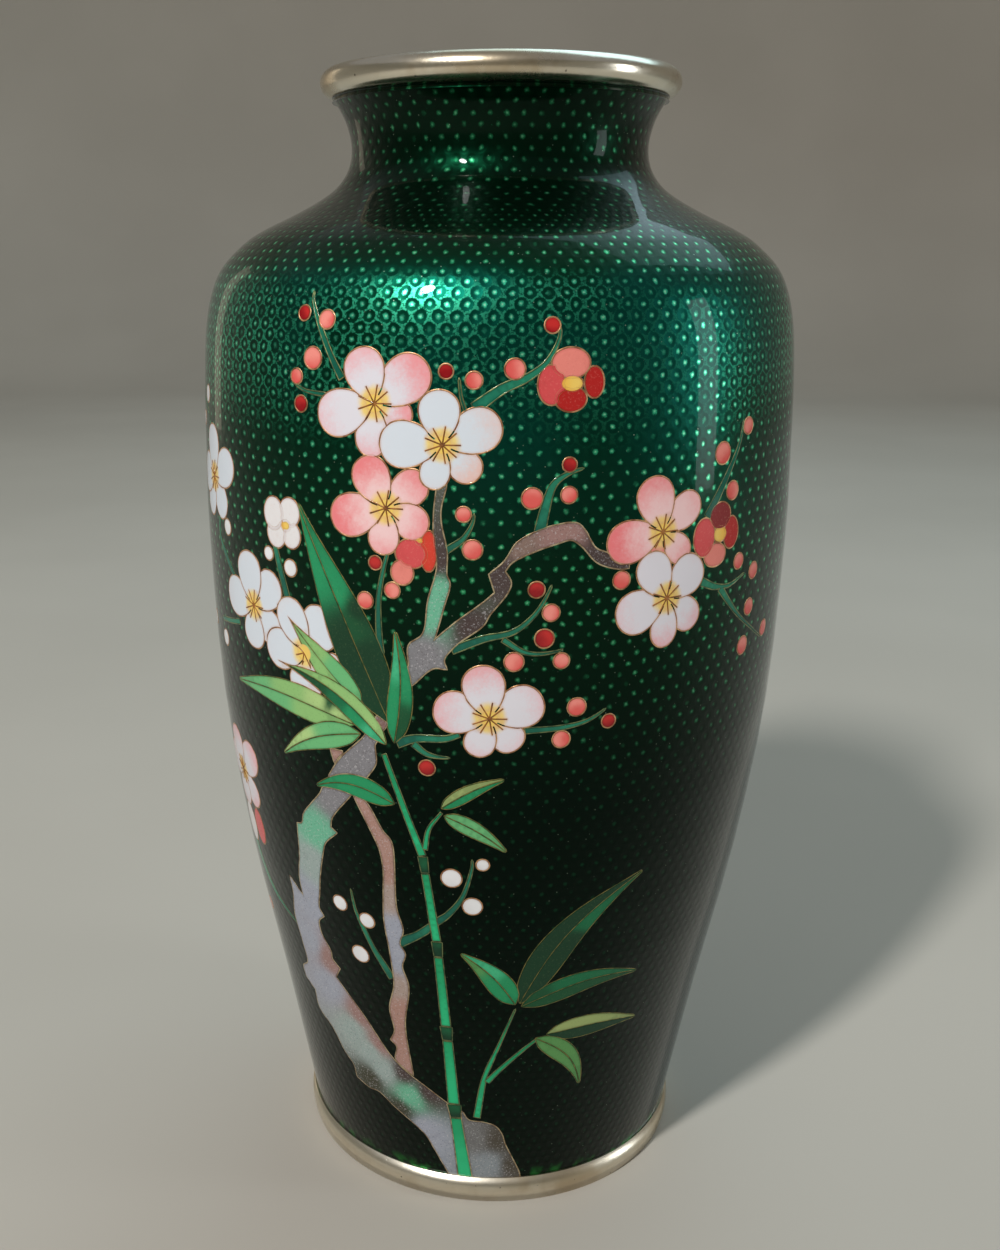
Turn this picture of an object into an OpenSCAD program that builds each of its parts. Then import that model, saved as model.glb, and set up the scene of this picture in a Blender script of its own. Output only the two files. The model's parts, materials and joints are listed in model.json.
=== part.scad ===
// A wired cloisonne vase: spun copper body, embossed silver foil, translucent green enamel,
// a plum and bamboo spray in wired cells, and silver mouth and foot rings.
// The axis is Z, the vase rests on z = 0, and the front of the picture faces -Y.

/* [Body] */
// Radius of the enamel where it meets the foot ring
foot_r = 44.5; // [37:0.5:54]
// Greatest radius of the body
belly_r = 64.8; // [60:0.2:78]
// Height of the greatest radius
belly_h = 148; // [120:1:180]
// Height of the shoulder's edge
shoulder_h = 204; // [190:1:246]
// Radius of the shoulder's edge
shoulder_r = 60.4; // [50:0.2:64]
// Rise from the shoulder's edge to the narrowest place of the neck
neck_rise = 26; // [20:0.5:32]
// Radius of the narrowest place of the neck
neck_r = 31.6; // [26:0.2:38]
// Rise from the narrowest place of the neck to the top
mouth_rise = 15; // [12:0.5:18]

/* [Wall] */
// Thickness of the spun copper
copper_t = 0.7; // [0.5:0.1:1.2]
// Thickness of the embossed silver foil with the clear coat that holds it
foil_t = 0.2; // [0.1:0.05:0.4]
// Thickness of the coloured enamel outside
enamel_t = 1; // [0.6:0.1:1.5]
// Thickness of the plain enamel inside and under the base
counter_t = 0.5; // [0.3:0.1:1]

/* [Silver rings] */
// How far the middle of the mouth ring's bead stands out past the narrowest place of the neck
mouth_out = 3.5; // [1:0.1:8]
// Radius of the mouth ring's bead
bead_r = 2.8; // [2.2:0.1:3.4]
// Height of the foot ring
ring_h = 6.2; // [5:0.1:8]
// How far the foot ring stands out past the enamel
ring_out = 0.8; // [0.4:0.1:1.5]
// Width of the foot ring's resting face
ring_w = 4.2; // [3:0.1:6]
// Height of the base's copper above the table
base_h = 5; // [4:0.1:6]

/* [Picture] */
// Width of the wires between the cells
wire_w = 0.3; // [0.2:0.05:0.5]
// Width of the stamen wires
stamen_w = 0.2; // [0.15:0.05:0.3]
// Number of stamens in a flower
stamens = 9; // [5:1:12]
// Length of a stamen
stamen_l = 3.4; // [2.5:0.1:4.5]
// Radius of a flower's yellow heart
heart_r = 1.7; // [1:0.1:2.5]

/* [Hidden] */
$fn = 48;

height = shoulder_h + neck_rise + mouth_rise;
mouth_r = neck_r + mouth_out;      // to the middle of the mouth ring's bead
bead_h = height - bead_r;
neck_h = shoulder_h + neck_rise;
far = 2 * belly_r;                 // past every solid
lip_over = 1;                      // how far the wall's outer face passes the middle of the bead

// ---- The outline of the enamel, from the foot ring to the mouth, as [radius, height] ----

function share(a, b, s) = a + (b - a) * s;
// Shares of the way from the foot to the belly, from the belly to the shoulder's edge,
// from the edge to the neck and from the neck to the mouth: [radius, height].
flank = [[0, 0], [0.33, 0.25], [0.68, 0.5], [0.915, 0.75]];
upper = [[0, 0], [0.03, 0.35], [0.12, 0.62], [0.36, 0.84]];
slope = [[0, 0], [0.19, 0.23], [0.36, 0.35], [0.57, 0.46], [0.77, 0.58], [0.9, 0.69], [0.98, 0.83]];
flare = [[0, 0], [0.3, 0.35], [1, 0.7]];
outline_knots = concat(
  [for (s = flank) [share(foot_r, belly_r, s.x), share(ring_h, belly_h, s.y)]],
  [for (s = upper) [share(belly_r, shoulder_r, s.x), share(belly_h, shoulder_h, s.y)]],
  [for (s = slope) [share(shoulder_r, neck_r, s.x), share(shoulder_h, neck_h, s.y)]],
  [for (s = flare) [share(neck_r, mouth_r + lip_over, s.x), share(neck_h, height, s.y)]]
);

// A point of the smooth curve that runs through p, t of the way from knot i to the next
function curve_at(p, i, t) =
  let (a = p[max(i - 1, 0)], b = p[i], c = p[i + 1], d = p[min(i + 2, len(p) - 1)])
  0.5 * (2 * b + (c - a) * t + (2 * a - 5 * b + 4 * c - d) * t * t + (3 * b - a - 3 * c + d) * t * t * t);
function curve(p, n) = concat(
  [for (i = [0 : len(p) - 2], k = [0 : n - 1]) curve_at(p, i, k / n)], [p[len(p) - 1]]);
outline = curve(outline_knots, 3);
wall_table = [for (p = outline) [p.y, p.x]];
function wall_r(h) = lookup(h, wall_table);
function wall_tilt(h) = atan((wall_r(h - 1) - wall_r(h + 1)) / 2);

// The outline moved in by d along its own normals
function inward(p, i) =
  let (t = p[min(i + 1, len(p) - 1)] - p[max(i - 1, 0)]) [-t.y, t.x] / norm(t);
function inset(d) = [for (i = [0 : len(outline) - 1]) outline[i] + d * inward(outline, i)];

// Depth of each layer's outer face below the outline
foil_in = enamel_t;
copper_in = foil_in + foil_t;
counter_in = copper_in + copper_t;
hollow_in = counter_in + counter_t;

// Half section of everything inside the outline moved in by d, above z0
module filled(d, z0) {
  p = inset(d);
  intersection() {
    polygon(concat([[0, 0], [p[0].x, 0]], p, [[0, p[len(p) - 1].y]]));
    translate([0, z0]) square([far, bead_h - z0]);
  }
}
module bead() translate([mouth_r, bead_h]) circle(bead_r);
module layer(outer, inner, z0, floor_t) {
  difference() {
    filled(outer, z0);
    filled(inner, z0 + floor_t);
  }
}
module copper_section() layer(copper_in, counter_in, base_h, copper_t);
module coat_section() {
  difference() {
    layer(0, foil_in, ring_h, -ring_h);
    bead();
  }
}
module coat() rotate_extrude() coat_section();

// ---- The body ----

module copper_body() color("peru") rotate_extrude() copper_section();
module silver_foil() color("silver") rotate_extrude() difference() {
  layer(foil_in, copper_in, ring_h, -ring_h);
  bead();
}
module inner_counter_enamel() color("darkgreen") rotate_extrude() difference() {
  layer(counter_in, hollow_in, base_h + copper_t, counter_t);
  bead();
}
module base_counter_enamel() color("darkgreen")
  translate([0, 0, base_h - counter_t]) cylinder(r = foot_r + ring_out - ring_w, h = counter_t);
module rim_ring() color("silver") rotate_extrude() difference() {
  bead();
  copper_section();
}
ring_bulge = 1.5;                  // the band's outer face is an arc of this many ring heights
module foot_ring() {
  ring_r = foot_r + ring_out;
  round_r = ring_bulge * ring_h;
  color("silver") rotate_extrude() difference() {
    intersection() {
      translate([ring_r - ring_w, 0]) square([ring_w, ring_h]);
      translate([ring_r - round_r, ring_h / 2]) circle(round_r);
    }
    filled(copper_in, base_h);
  }
}

// ---- Places on the wall ----
// A place is [angle, height]: degrees round from the front, positive to the viewer's right,
// and millimetres up, drawn for a shoulder edge at drawn_h.

drawn_h = 204;
function up(h) = h * shoulder_h / drawn_h;

// A small upright shape standing out from the wall at a place, square to the surface
module at_spot(place, depth = 4) {
  h = up(place.y);
  rotate([0, 0, place.x]) translate([0, -wall_r(h), h]) rotate([90 - wall_tilt(h), 0, 0])
    translate([0, 0, -depth]) linear_extrude(2 * depth) children();
}
// A piece small enough to be flat, as thick as the enamel and flush with it
module inlay(place) {
  h = up(place.y);
  rotate([0, 0, place.x]) translate([0, -wall_r(h), h]) rotate([90 - wall_tilt(h), 0, 0])
    translate([0, 0, -enamel_t]) linear_extrude(enamel_t) children();
}
// A large shape drawn by flat_xy, standing out level from the wall around angle a0
module around(a0) rotate([0, 0, a0]) rotate([90, 0, 0])
  translate([0, 0, belly_r / 4]) linear_extrude(belly_r) children();
function flat_xy(place, a0) = [wall_r(up(place.y)) * sin(place.x - a0), up(place.y)];
function flat_all(places, a0) = [for (p = places) flat_xy(p, a0)];

// ---- Outlines of strips, leaves and petals ----

function turn90(v) = [-v.y, v.x];
function unit(v) = v / norm(v);
function along(p, i) = unit(p[min(i + 1, len(p) - 1)] - p[max(i - 1, 0)]);
function edge(p, w0, w1, side) = [for (i = [0 : len(p) - 1])
  p[i] + side * turn90(along(p, i)) * share(w0, w1, i / (len(p) - 1)) / 2];
function backwards(p) = [for (i = [len(p) - 1 : -1 : 0]) p[i]];
// A strip along p, w0 wide at its start and w1 at its end
function strip(p, w0, w1) = concat(edge(p, w0, w1, 1), backwards(edge(p, w0, w1, -1)));

leaf_steps = 9;
leaf_full = 0.62;                  // lower brings the widest place nearer the foot
leaf_taper = 1.15;                 // higher draws the tip out longer
// Points up the middle of a leaf that bows sideways by b
function spine(foot, tip, b) = [for (i = [0 : leaf_steps])
  share(foot, tip, i / leaf_steps) + turn90(unit(tip - foot)) * b * sin(180 * i / leaf_steps)];
function leaf_half(u, w) = w / 2 * pow(sin(180 * pow(u, leaf_full)), leaf_taper);
function leaf_side(s, w, side) = [for (i = [1 : leaf_steps - 1])
  s[i] + side * turn90(along(s, i)) * leaf_half(i / leaf_steps, w)];
function leaf_edge(s, w) =
  concat([s[0]], leaf_side(s, w, 1), [s[leaf_steps]], backwards(leaf_side(s, w, -1)));

petal_steps = 14;
petal_taper = 0.3;                 // higher makes the foot of a petal narrower
petal_full = 1.19;                 // brings the widest place of the petal's formula to 1
// A petal [direction, length, width] whose foot is at the flower's middle
function petal_edge(p) = [for (i = [0 : petal_steps - 1])
  let (t = 360 * i / petal_steps, u = (1 - cos(t)) / 2,
       x = p.y * u, y = petal_full * p.z / 2 * sin(t) * pow(u, petal_taper))
  [x * cos(p.x) - y * sin(p.x), x * sin(p.x) + y * cos(p.x)]];
// An oval [x, y, width, height]
function oval(o) = [for (i = [0 : petal_steps - 1]) let (t = 360 * i / petal_steps)
  [o[0] + o[2] / 2 * cos(t), o[1] + o[3] / 2 * sin(t)]];

// ---- The picture ----

white = 0;
blush = 1;
pink = 2;
red = 3;
// Flowers: place, kind, petals as [direction, length, width], the flowers and the leaves in front
flowers = [
  [[-22.5, 182.5], blush,
    [[-28, 8, 7], [-95, 10, 7], [-164, 12.5, 9], [37, 12.5, 9], [110, 10.5, 8.5]], [1], []],
  [[-11, 175.5], white,
    [[-42, 9, 6.5], [-105, 8.5, 6], [23, 11.5, 8.5], [-179, 12, 9], [96, 10, 8]], [], []],
  [[-20.5, 163.5], pink,
    [[40, 10, 7], [-25, 9, 7], [-95, 9, 6.5], [-166, 12, 8.5], [118, 10.5, 8]], [1], []],
  [[26.5, 158.5], pink,
    [[-92, 5, 5.5], [-44, 8.5, 6], [36, 10.5, 7], [-169, 12, 8.5], [105, 11, 8.5]], [4], []],
  [[28, 145.5], blush,
    [[-38, 10, 7], [-92, 10, 6.5], [40, 10.5, 8.5], [-162, 11.5, 9], [120, 10.5, 8]], [], []],
  [[-3, 123.5], blush,
    [[-47, 8.5, 7], [-110, 8.5, 6.5], [22, 11, 9], [171, 11, 9], [100, 11, 8.5]], [], []],
  [[-51.5, 139.5], white,
    [[-34, 10.5, 8], [-97, 9.5, 8], [38, 11.5, 8.5], [176, 12, 9], [100, 11.5, 9.5]], [7], []],
  [[-37, 133], white,
    [[-33, 12, 9.5], [-100, 11, 9], [58, 11, 10], [-174, 12.5, 9], [123, 12, 8.5]], [], [0, 1, 2, 4]],
  [[-67.5, 163.5], white,
    [[-45, 10.5, 7.5], [-118, 9.5, 7.5], [-180, 10.5, 9], [20, 12.5, 8.5], [97, 11, 9]], [], []],
  [[-67, 97.5], blush,
    [[-42, 10, 7.5], [-105, 9.5, 7.5], [170, 10, 8.5], [36, 12.5, 8.5], [104, 10.5, 9]], [], []]
];
// Flowers half open: place, kind, petals as [x, y, width, height], hearts as the same, and the
// flowers in front
opening = [
  [[9.5, 187], red, [[4.3, -0.4, 3.4, 5.4], [-3.5, -0.8, 4.8, 6.9], [0, -3.3, 5.6, 4.3], [0, 3, 6.8, 5.2]],
    [[0.2, -0.6, 3.8, 2.6]], []],
  [[39, 156], red, [[4, 0.3, 4.4, 6.2], [-0.5, -3.6, 6, 4.4], [0.6, 4, 5.8, 5], [-3.8, 0.2, 5.4, 7.4]],
    [[0.6, 0.4, 3.6, 3]], [3, 4]],
  [[-42, 158], white,
    [[2.6, -1.9, 4.8, 5.2], [-1.6, -1.8, 5.4, 6.2], [2.2, 2.5, 5.4, 5.6], [-2.4, 1.8, 5.6, 6.4]],
    [[1.2, -0.2, 2.6, 2.2]], []],
  [[-15.5, 155.5], red, [[2.6, 0.4, 3, 7.6], [-2.5, -3.9, 4.2, 4.6], [-0.7, -0.2, 6, 5.4]],
    [[1, 2.2, 1.6, 1.2]], [2]],
  [[-66, 84.5], red, [[3.5, 0.5, 5, 8.6], [-2.6, -0.5, 6, 9.6]], [], [9]]
];
red_bud = [
  [-37, 198, 1.6], [-37, 181.5, 1.7], [-10.5, 188.5, 1.5], [6.5, 196.5, 1.6], [9.5, 172, 1.5],
  [-22.5, 153, 1.5], [4.5, 149, 1.7], [6, 139.5, 2], [18, 122, 1.6], [-14, 112.5, 1.8]
];
coral_bud = [
  [-32, 197, 1.9], [-34.5, 190, 2.2], [-38, 186.5, 1.6], [-6, 187, 1.7], [0.5, 189, 2], [3.5, 166, 2.1],
  [9.5, 166.5, 1.7], [-7.5, 163, 1.6], [-6, 156.5, 2], [-24.5, 145.5, 1.8], [-19.5, 148, 1.7],
  [7, 144.5, 1.8], [1, 135, 2], [9, 135, 1.7], [12, 125.5, 2], [9.5, 119, 1.9], [39.5, 172, 2.3],
  [42.5, 164.5, 2], [19, 150, 1.9], [45.5, 150, 1.8], [50.5, 139.5, 1.9], [49.5, 131.5, 2.1],
  [46.5, 176.5, 1.8], [51, 147, 1.9], [58.5, 133, 1.9], [-71, 61.5, 1.7]
];
white_bud = [
  [-60.5, 154, 1.9], [-45.8, 151.5, 1.6], [-40.2, 149.5, 1.9], [-66.5, 128.5, 2], [-72, 180, 2],
  [-76.5, 174.5, 1.7], [-76, 130.5, 1.8], [-35.5, 76.5, 2], [-29, 74, 2], [-32, 64.5, 2.3], [-10, 88, 2.3],
  [-4, 91.5, 1.5], [-6, 81.5, 2.2]
];
// Leaves, from back to front: foot place, tip place, width, bow, tone and spray
pale = 0;
green = 1;
dark = 2;
leaves = [
  [[-27, 119.5], [-63.5, 120.5], 7.5, -2.5, pale, 0], [[-20.5, 120.5], [-39, 165], 10.5, -0.5, dark, 0],
  [[-25.5, 123], [-41.5, 139.5], 7, 0, pale, 0], [[-26, 118], [-47.5, 107.5], 6, -2, pale, 0],
  [[-21, 116], [-45, 129.5], 5.5, -3.5, green, 0], [[-20, 116.5], [-19.5, 142.5], 5.5, -1.5, green, 0],
  [[-20, 103.5], [-39.5, 103], 5.5, -3, green, 1],
  [[-11.5, 102.5], [2, 93], 4, 1, green, 2], [[-12, 103.5], [2, 111.5], 3.5, 1, pale, 3],
  [[4, 56], [31.5, 88], 8, 5, dark, 4], [[3.5, 56], [-10, 70.5], 6, -1.5, green, 4],
  [[4, 55.5], [35.5, 59.5], 6, 3.5, green, 4],
  [[10.5, 47.5], [38, 46], 6, 1.5, pale, 5], [[8, 47], [22, 29.5], 5.5, 3, pale, 5]
];
// Twigs: width at the foot, width at the tip, places
twig = [
  [1.7, 0.4, [[-28.5, 186.5], [-31, 191], [-34, 197], [-35.5, 200.5], [-36, 204.5]]],
  [1, 0.4, [[-31, 183.5], [-36, 184], [-39.5, 185.5], [-42, 187.5]]],
  [0.9, 0.4, [[-7, 180.5], [-8, 184], [-8.5, 188.5], [-7.5, 192.5]]],
  [2.4, 0.4, [[-6, 182], [-1.5, 185.5], [2.5, 187.5], [5.5, 190], [7.5, 194], [8.5, 199.5]]],
  [2.6, 0.5, [[4.5, 158], [5.5, 163.5], [7, 168.5], [9.5, 170.5], [12.5, 171.5]]],
  [1.6, 0.4, [[-10.5, 156], [-7.5, 158.5], [-6, 161.5], [-5.5, 165]]],
  [1.9, 0.4, [[-9.5, 137], [-4, 139.5], [1, 141], [4.5, 144.5], [6.5, 148.5], [8, 152.5]]],
  [1.4, 0.4, [[-1, 139.5], [2.5, 137], [5, 136.5], [8.5, 137], [12, 138.5]]],
  [1.5, 0.4, [[3, 121], [10, 121.5], [14, 122.5], [16.5, 124], [19.5, 126.5]]],
  [2.2, 1.2, [[-19.5, 117], [-16, 118.5], [-10.5, 119], [-8, 120]]],
  [1.8, 0.4, [[-16.5, 117.5], [-14, 115.5], [-11.5, 115], [-8.5, 115]]],
  [1.7, 0.8, [[-21, 127.5], [-22, 138], [-22, 146], [-21, 152], [-20, 156]]],
  [1.9, 1.6, [[-41, 142], [-43, 149.5], [-44, 153.5]]],
  [2.2, 0.4, [[36, 160], [40.5, 167], [44, 173.5], [45.5, 180]]],
  [2, 0.6, [[35.5, 147.6], [39, 146], [43, 145.5], [48, 147.2]]],
  [1.8, 0.4, [[40.5, 145.5], [43.5, 142], [47, 138.5], [54, 133.5], [62, 128.5]]],
  [2, 0.4, [[-24.5, 60], [-28.5, 67.5], [-31.5, 75.5], [-32.5, 84.5]]],
  [2.4, 0.4, [[-22, 70], [-17.5, 73], [-11, 79], [-8, 83.5], [-6, 91], [-6, 94.5]]],
  [0.8, 3, [[-52, 64.5], [-57, 66.5], [-62, 69], [-66, 73], [-69, 80]]],
  [1.4, 1.2, [[-58.5, 144], [-61.5, 147.5], [-65, 151.5], [-64.5, 156]]],
  [1.5, 1.2, [[-57.5, 134.5], [-62, 133.5], [-68, 132.5]]],
  [1, 0.4, [[-68, 172], [-71, 176], [-76.5, 179], [-81, 183]]]
];
// The trunk and its fork, the root beyond the bamboo and the side branch, as places round their edges
trunk_edge = [
  [-13.5, 5], [-15.5, 8.5], [-18, 13], [-20.5, 17], [-25, 20], [-29.5, 23], [-33.5, 25.5], [-36.5, 25.5],
  [-41, 27], [-41.5, 30.5], [-44, 33], [-47.5, 38.5], [-52, 42], [-52, 47], [-55.5, 49], [-55.5, 52],
  [-52.5, 54.5], [-52.5, 60], [-53, 67], [-51.5, 73.5], [-51.5, 78], [-47.5, 74.5], [-47.5, 79], [-46, 85],
  [-45, 93], [-43.5, 93.5], [-42.5, 96], [-40, 99], [-37, 102.5], [-34.5, 107], [-31.5, 111.5], [-26, 117.5],
  [-17, 133.5], [-17, 137.5], [-14.5, 140], [-13.5, 146.5], [-12, 153], [-12.5, 158], [-12.5, 163],
  [-12, 168.5], [-10, 168.5], [-11, 164], [-11, 161.5], [-10, 156], [-10, 151.5], [-9.5, 150], [-10.5, 145.5],
  [-12, 139.5], [-8.5, 143], [-4.5, 146.5], [-2.5, 148.5], [-3.5, 152], [-1, 154.5], [1, 158], [4, 160],
  [6.5, 161], [11, 161.5], [12.5, 160], [13.5, 158], [14.5, 156.5], [18.5, 154.5], [20.5, 154], [20.5, 152],
  [18.5, 152], [14.5, 153.5], [11.5, 157], [10, 158], [8, 157.5], [4, 156], [0.5, 154], [-0.5, 152.5],
  [0.5, 150.5], [0, 148.5], [-3, 144], [-4, 142], [-8.5, 138], [-10.5, 135], [-10, 133], [-12.5, 133],
  [-16.5, 129], [-23.5, 116], [-23.5, 112], [-26.5, 107], [-29.5, 103.5], [-34.5, 97], [-35, 95], [-33.5, 94],
  [-37, 90.5], [-38, 88], [-40, 81.5], [-42, 73], [-41, 71], [-43, 69], [-43, 66], [-41, 62], [-41, 60],
  [-39, 58], [-41, 55], [-34, 47], [-28.5, 39], [-25, 35.5], [-18, 31], [-12, 27], [-11, 15], [-9.5, 5]
];
root_edge = [
  [7.5, 5], [7, 7.5], [4.5, 12.5], [2.5, 16.5], [1.5, 19.5], [-0.5, 22], [-3.5, 23], [-7.5, 23.5],
  [-10, 27], [-13, 27], [-12, 15], [-10, 5]
];
side_branch_edge = [
  [-20, 30], [-27, 36], [-26, 41], [-27.5, 42.5], [-26, 45.5], [-26.5, 51.5], [-24.5, 58.5], [-24.5, 67],
  [-25, 75], [-24.5, 82], [-24, 88], [-24.5, 92.5], [-26, 96.5], [-29, 103.5], [-32.5, 109], [-33.5, 113.5],
  [-30.5, 113.5], [-28.5, 107.5], [-26, 102.5], [-23, 97], [-21.5, 95], [-21.5, 79], [-20.5, 73.5],
  [-21.5, 70], [-20.5, 67.5], [-21.5, 64], [-20.5, 59], [-22.5, 47.5], [-21.5, 30]
];
// The bamboo: places of the joints, with the stalk's width there
stalk = [
  [[-9, 5], 3.5], [[-11.5, 27.5], 2.8], [[-12.5, 49.5], 2.4], [[-13.5, 72], 2.1], [[-15.5, 92.5], 1.9],
  [[-22, 114.5], 1.3]
];
young_stalk = [[[-5.5, 24], 1.8], [[-3.5, 36], 1.4], [[3.5, 55.5], 0.6]];
// Shoots: width at the foot, width at the tip, places
shoots = [
  [1.5, 0.8, [[-3, 34.5], [0, 38], [5.5, 43.5], [9.5, 47]]],
  [1.4, 0.8, [[-15, 94], [-14, 99], [-11.5, 103]]],
  [0.6, 0.6, [[-15, 94.5], [-16, 101], [-18, 107], [-21, 115]]]
];

// ---- Cells and wires ----
// A motif's mask is all the room it takes up in the enamel. Its cells lie a wire's width inside,
// and its wires are what is left of the mask. From the front, the motifs lie in this order:
// leaves, flowers, stalks, trunk, root, side branch, half-open flowers, buds, twigs.

module cell() offset(delta = -wire_w) children();
module in_coat() intersection() {
  coat();
  union() children();
}

// Flowers
module petals_flat(i) for (p = flowers[i][2]) polygon(petal_edge(p));
module whole_cells_flat(i) {
  petals = flowers[i][2];
  last = len(petals) - 1;
  for (k = [0 : last]) difference() {
    cell() polygon(petal_edge(petals[k]));
    for (j = [k + 1 : 1 : last]) polygon(petal_edge(petals[j]));
  }
}
module stamens_flat() for (k = [1 : stamens]) rotate(360 * k / stamens)
  translate([heart_r / 3, -stamen_w / 2]) square([stamen_l - heart_r / 3, stamen_w]);
module flower_mask(i) at_spot(flowers[i][0]) petals_flat(i);
module flower_masks() for (i = [0 : len(flowers) - 1]) flower_mask(i);
module before_flower(i) {
  for (j = flowers[i][3]) flower_mask(j);
  for (j = flowers[i][4]) leaf_mask(j);
}
module on_flower(i) difference() {
  at_spot(flowers[i][0]) children();
  before_flower(i);
}
module inlaid_flower(i) difference() {
  inlay(flowers[i][0]) children();
  before_flower(i);
}
module petals_of(kind) in_coat() for (i = [0 : len(flowers) - 1]) if (flowers[i][1] == kind)
  on_flower(i) difference() {
    whole_cells_flat(i);
    circle(heart_r);
    stamens_flat();
  }
module white_petals() color("white") petals_of(white);
module blush_petals() color("mistyrose") petals_of(blush);
module pink_petals() color("lightsalmon") petals_of(pink);
module flower_hearts() color("gold") for (i = [0 : len(flowers) - 1])
  inlaid_flower(i) difference() {
    circle(heart_r);
    stamens_flat();
  }
module stamen_wires() color("goldenrod") for (i = [0 : len(flowers) - 1])
  inlaid_flower(i) stamens_flat();
module petal_wires() color("goldenrod") in_coat() for (i = [0 : len(flowers) - 1])
  on_flower(i) difference() {
    petals_flat(i);
    whole_cells_flat(i);
    circle(heart_r);
    stamens_flat();
  }

// Half-open flowers
module opening_mask(i) on_opening(i) {
  for (o = opening[i][2]) polygon(oval(o));
  for (o = opening[i][3]) polygon(oval(o));
}
module opening_masks() for (i = [0 : len(opening) - 1]) opening_mask(i);
module opening_cells_flat(i) {
  petals = opening[i][2];
  last = len(petals) - 1;
  for (k = [0 : last]) difference() {
    cell() polygon(oval(petals[k]));
    for (j = [k + 1 : 1 : last]) polygon(oval(petals[j]));
    for (o = opening[i][3]) polygon(oval(o));
  }
}
module on_opening(i) difference() {
  at_spot(opening[i][0]) children();
  plant() trunk_flat();
  for (j = opening[i][4]) flower_mask(j);
}
module opening_petals_of(kind) in_coat() for (i = [0 : len(opening) - 1]) if (opening[i][1] == kind)
  on_opening(i) opening_cells_flat(i);
module red_opening_petals() color("indianred") opening_petals_of(red);
module white_opening_petals() color("white") opening_petals_of(white);
module opening_hearts() color("gold") in_coat() for (i = [0 : len(opening) - 1]) for (o = opening[i][3])
  on_opening(i) cell() polygon(oval(o));
module opening_wires() color("goldenrod") in_coat() for (i = [0 : len(opening) - 1])
  on_opening(i) difference() {
    union() {
      for (o = concat(opening[i][2], opening[i][3])) polygon(oval(o));
    }
    opening_cells_flat(i);
    for (o = opening[i][3]) cell() polygon(oval(o));
  }

// Buds
all_buds = concat(red_bud, coral_bud, white_bud);
module bud_masks() for (b = all_buds) at_spot([b[0], b[1]]) circle(b[2]);
module bud_cells(buds) for (b = buds) inlay([b[0], b[1]]) circle(b[2] - wire_w);
module red_buds() color("firebrick") bud_cells(red_bud);
module coral_buds() color("salmon") bud_cells(coral_bud);
module white_buds() color("white") bud_cells(white_bud);
module bud_wires() color("goldenrod") for (b = all_buds) inlay([b[0], b[1]]) difference() {
  circle(b[2]);
  circle(b[2] - wire_w);
}

// Trunk, its root and the side branch, all standing out in one direction
plant_a = -20;
module plant() around(plant_a) children();
module trunk_flat() polygon(flat_all(trunk_edge, plant_a));
module root_flat() difference() {
  polygon(flat_all(root_edge, plant_a));
  trunk_flat();
}
module side_flat() difference() {
  polygon(flat_all(side_branch_edge, plant_a));
  trunk_flat();
  root_flat();
}
module before_trunk() {
  for (i = [1, 3, 4]) flower_mask(i);
  for (j = [1 : 6]) leaf_mask(j);
  plant() stalks_flat();
}
module bark(bark_color) color(bark_color) in_coat() difference() {
  plant() children();
  before_trunk();
}
module trunk() bark("lightslategray") cell() trunk_flat();
module trunk_root() bark("dimgray") cell() root_flat();
module side_branch() bark("rosybrown") cell() side_flat();
module trunk_wires() bark("goldenrod") {
  difference() {
    trunk_flat();
    cell() trunk_flat();
  }
  difference() {
    root_flat();
    cell() root_flat();
  }
  difference() {
    side_flat();
    cell() side_flat();
  }
}
module trunk_masks() difference() {
  plant() {
    trunk_flat();
    polygon(flat_all(root_edge, plant_a));
    polygon(flat_all(side_branch_edge, plant_a));
  }
  before_trunk();
}

// Bamboo: a joint is the dark top of each length of stalk
joint_l = 4;
joint_flare = 1.25;                // a joint's top is this many times as wide as the stalk
function stalk_xy(i) = flat_xy(stalk[i][0], plant_a);
// From a distance past joint i to a distance short of joint i + 1
module stalk_length(i, past, short) {
  way = unit(stalk_xy(i + 1) - stalk_xy(i));
  polygon(strip([stalk_xy(i) + past * way, stalk_xy(i + 1) - short * way], stalk[i][1], stalk[i + 1][1]));
}
joints = len(stalk) - 2;             // the last length has no joint at its top
module joint_flat(i) {
  way = unit(stalk_xy(i + 1) - stalk_xy(i));
  width = stalk[i + 1][1];
  polygon(strip([stalk_xy(i + 1) - joint_l * way, stalk_xy(i + 1)], width, joint_flare * width));
}
module young_flat() {
  polygon(strip(flat_all([for (s = young_stalk) s[0]], plant_a), young_stalk[0][1], young_stalk[2][1]));
  for (s = shoots) polygon(strip(flat_all(s[2], plant_a), s[0], s[1]));
}
module lengths_flat() {
  for (i = [0 : joints - 1]) stalk_length(i, 0, joint_l);
  stalk_length(joints, 0, 0);
  young_flat();
}
module joints_flat() for (i = [0 : joints - 1]) joint_flat(i);
module stalks_flat() {
  lengths_flat();
  joints_flat();
}
module on_stalk() in_coat() difference() {
  plant() children();
  for (j = [1 : len(leaves) - 1]) leaf_mask(j);
}
module bamboo_stalk() color("mediumseagreen") on_stalk() difference() {
  cell() lengths_flat();
  joints_flat();
}
module bamboo_joints() color("darkgreen") on_stalk() cell() joints_flat();
module bamboo_wires() color("goldenrod") on_stalk() difference() {
  stalks_flat();
  difference() {
    cell() lengths_flat();
    joints_flat();
  }
  cell() joints_flat();
}

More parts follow.
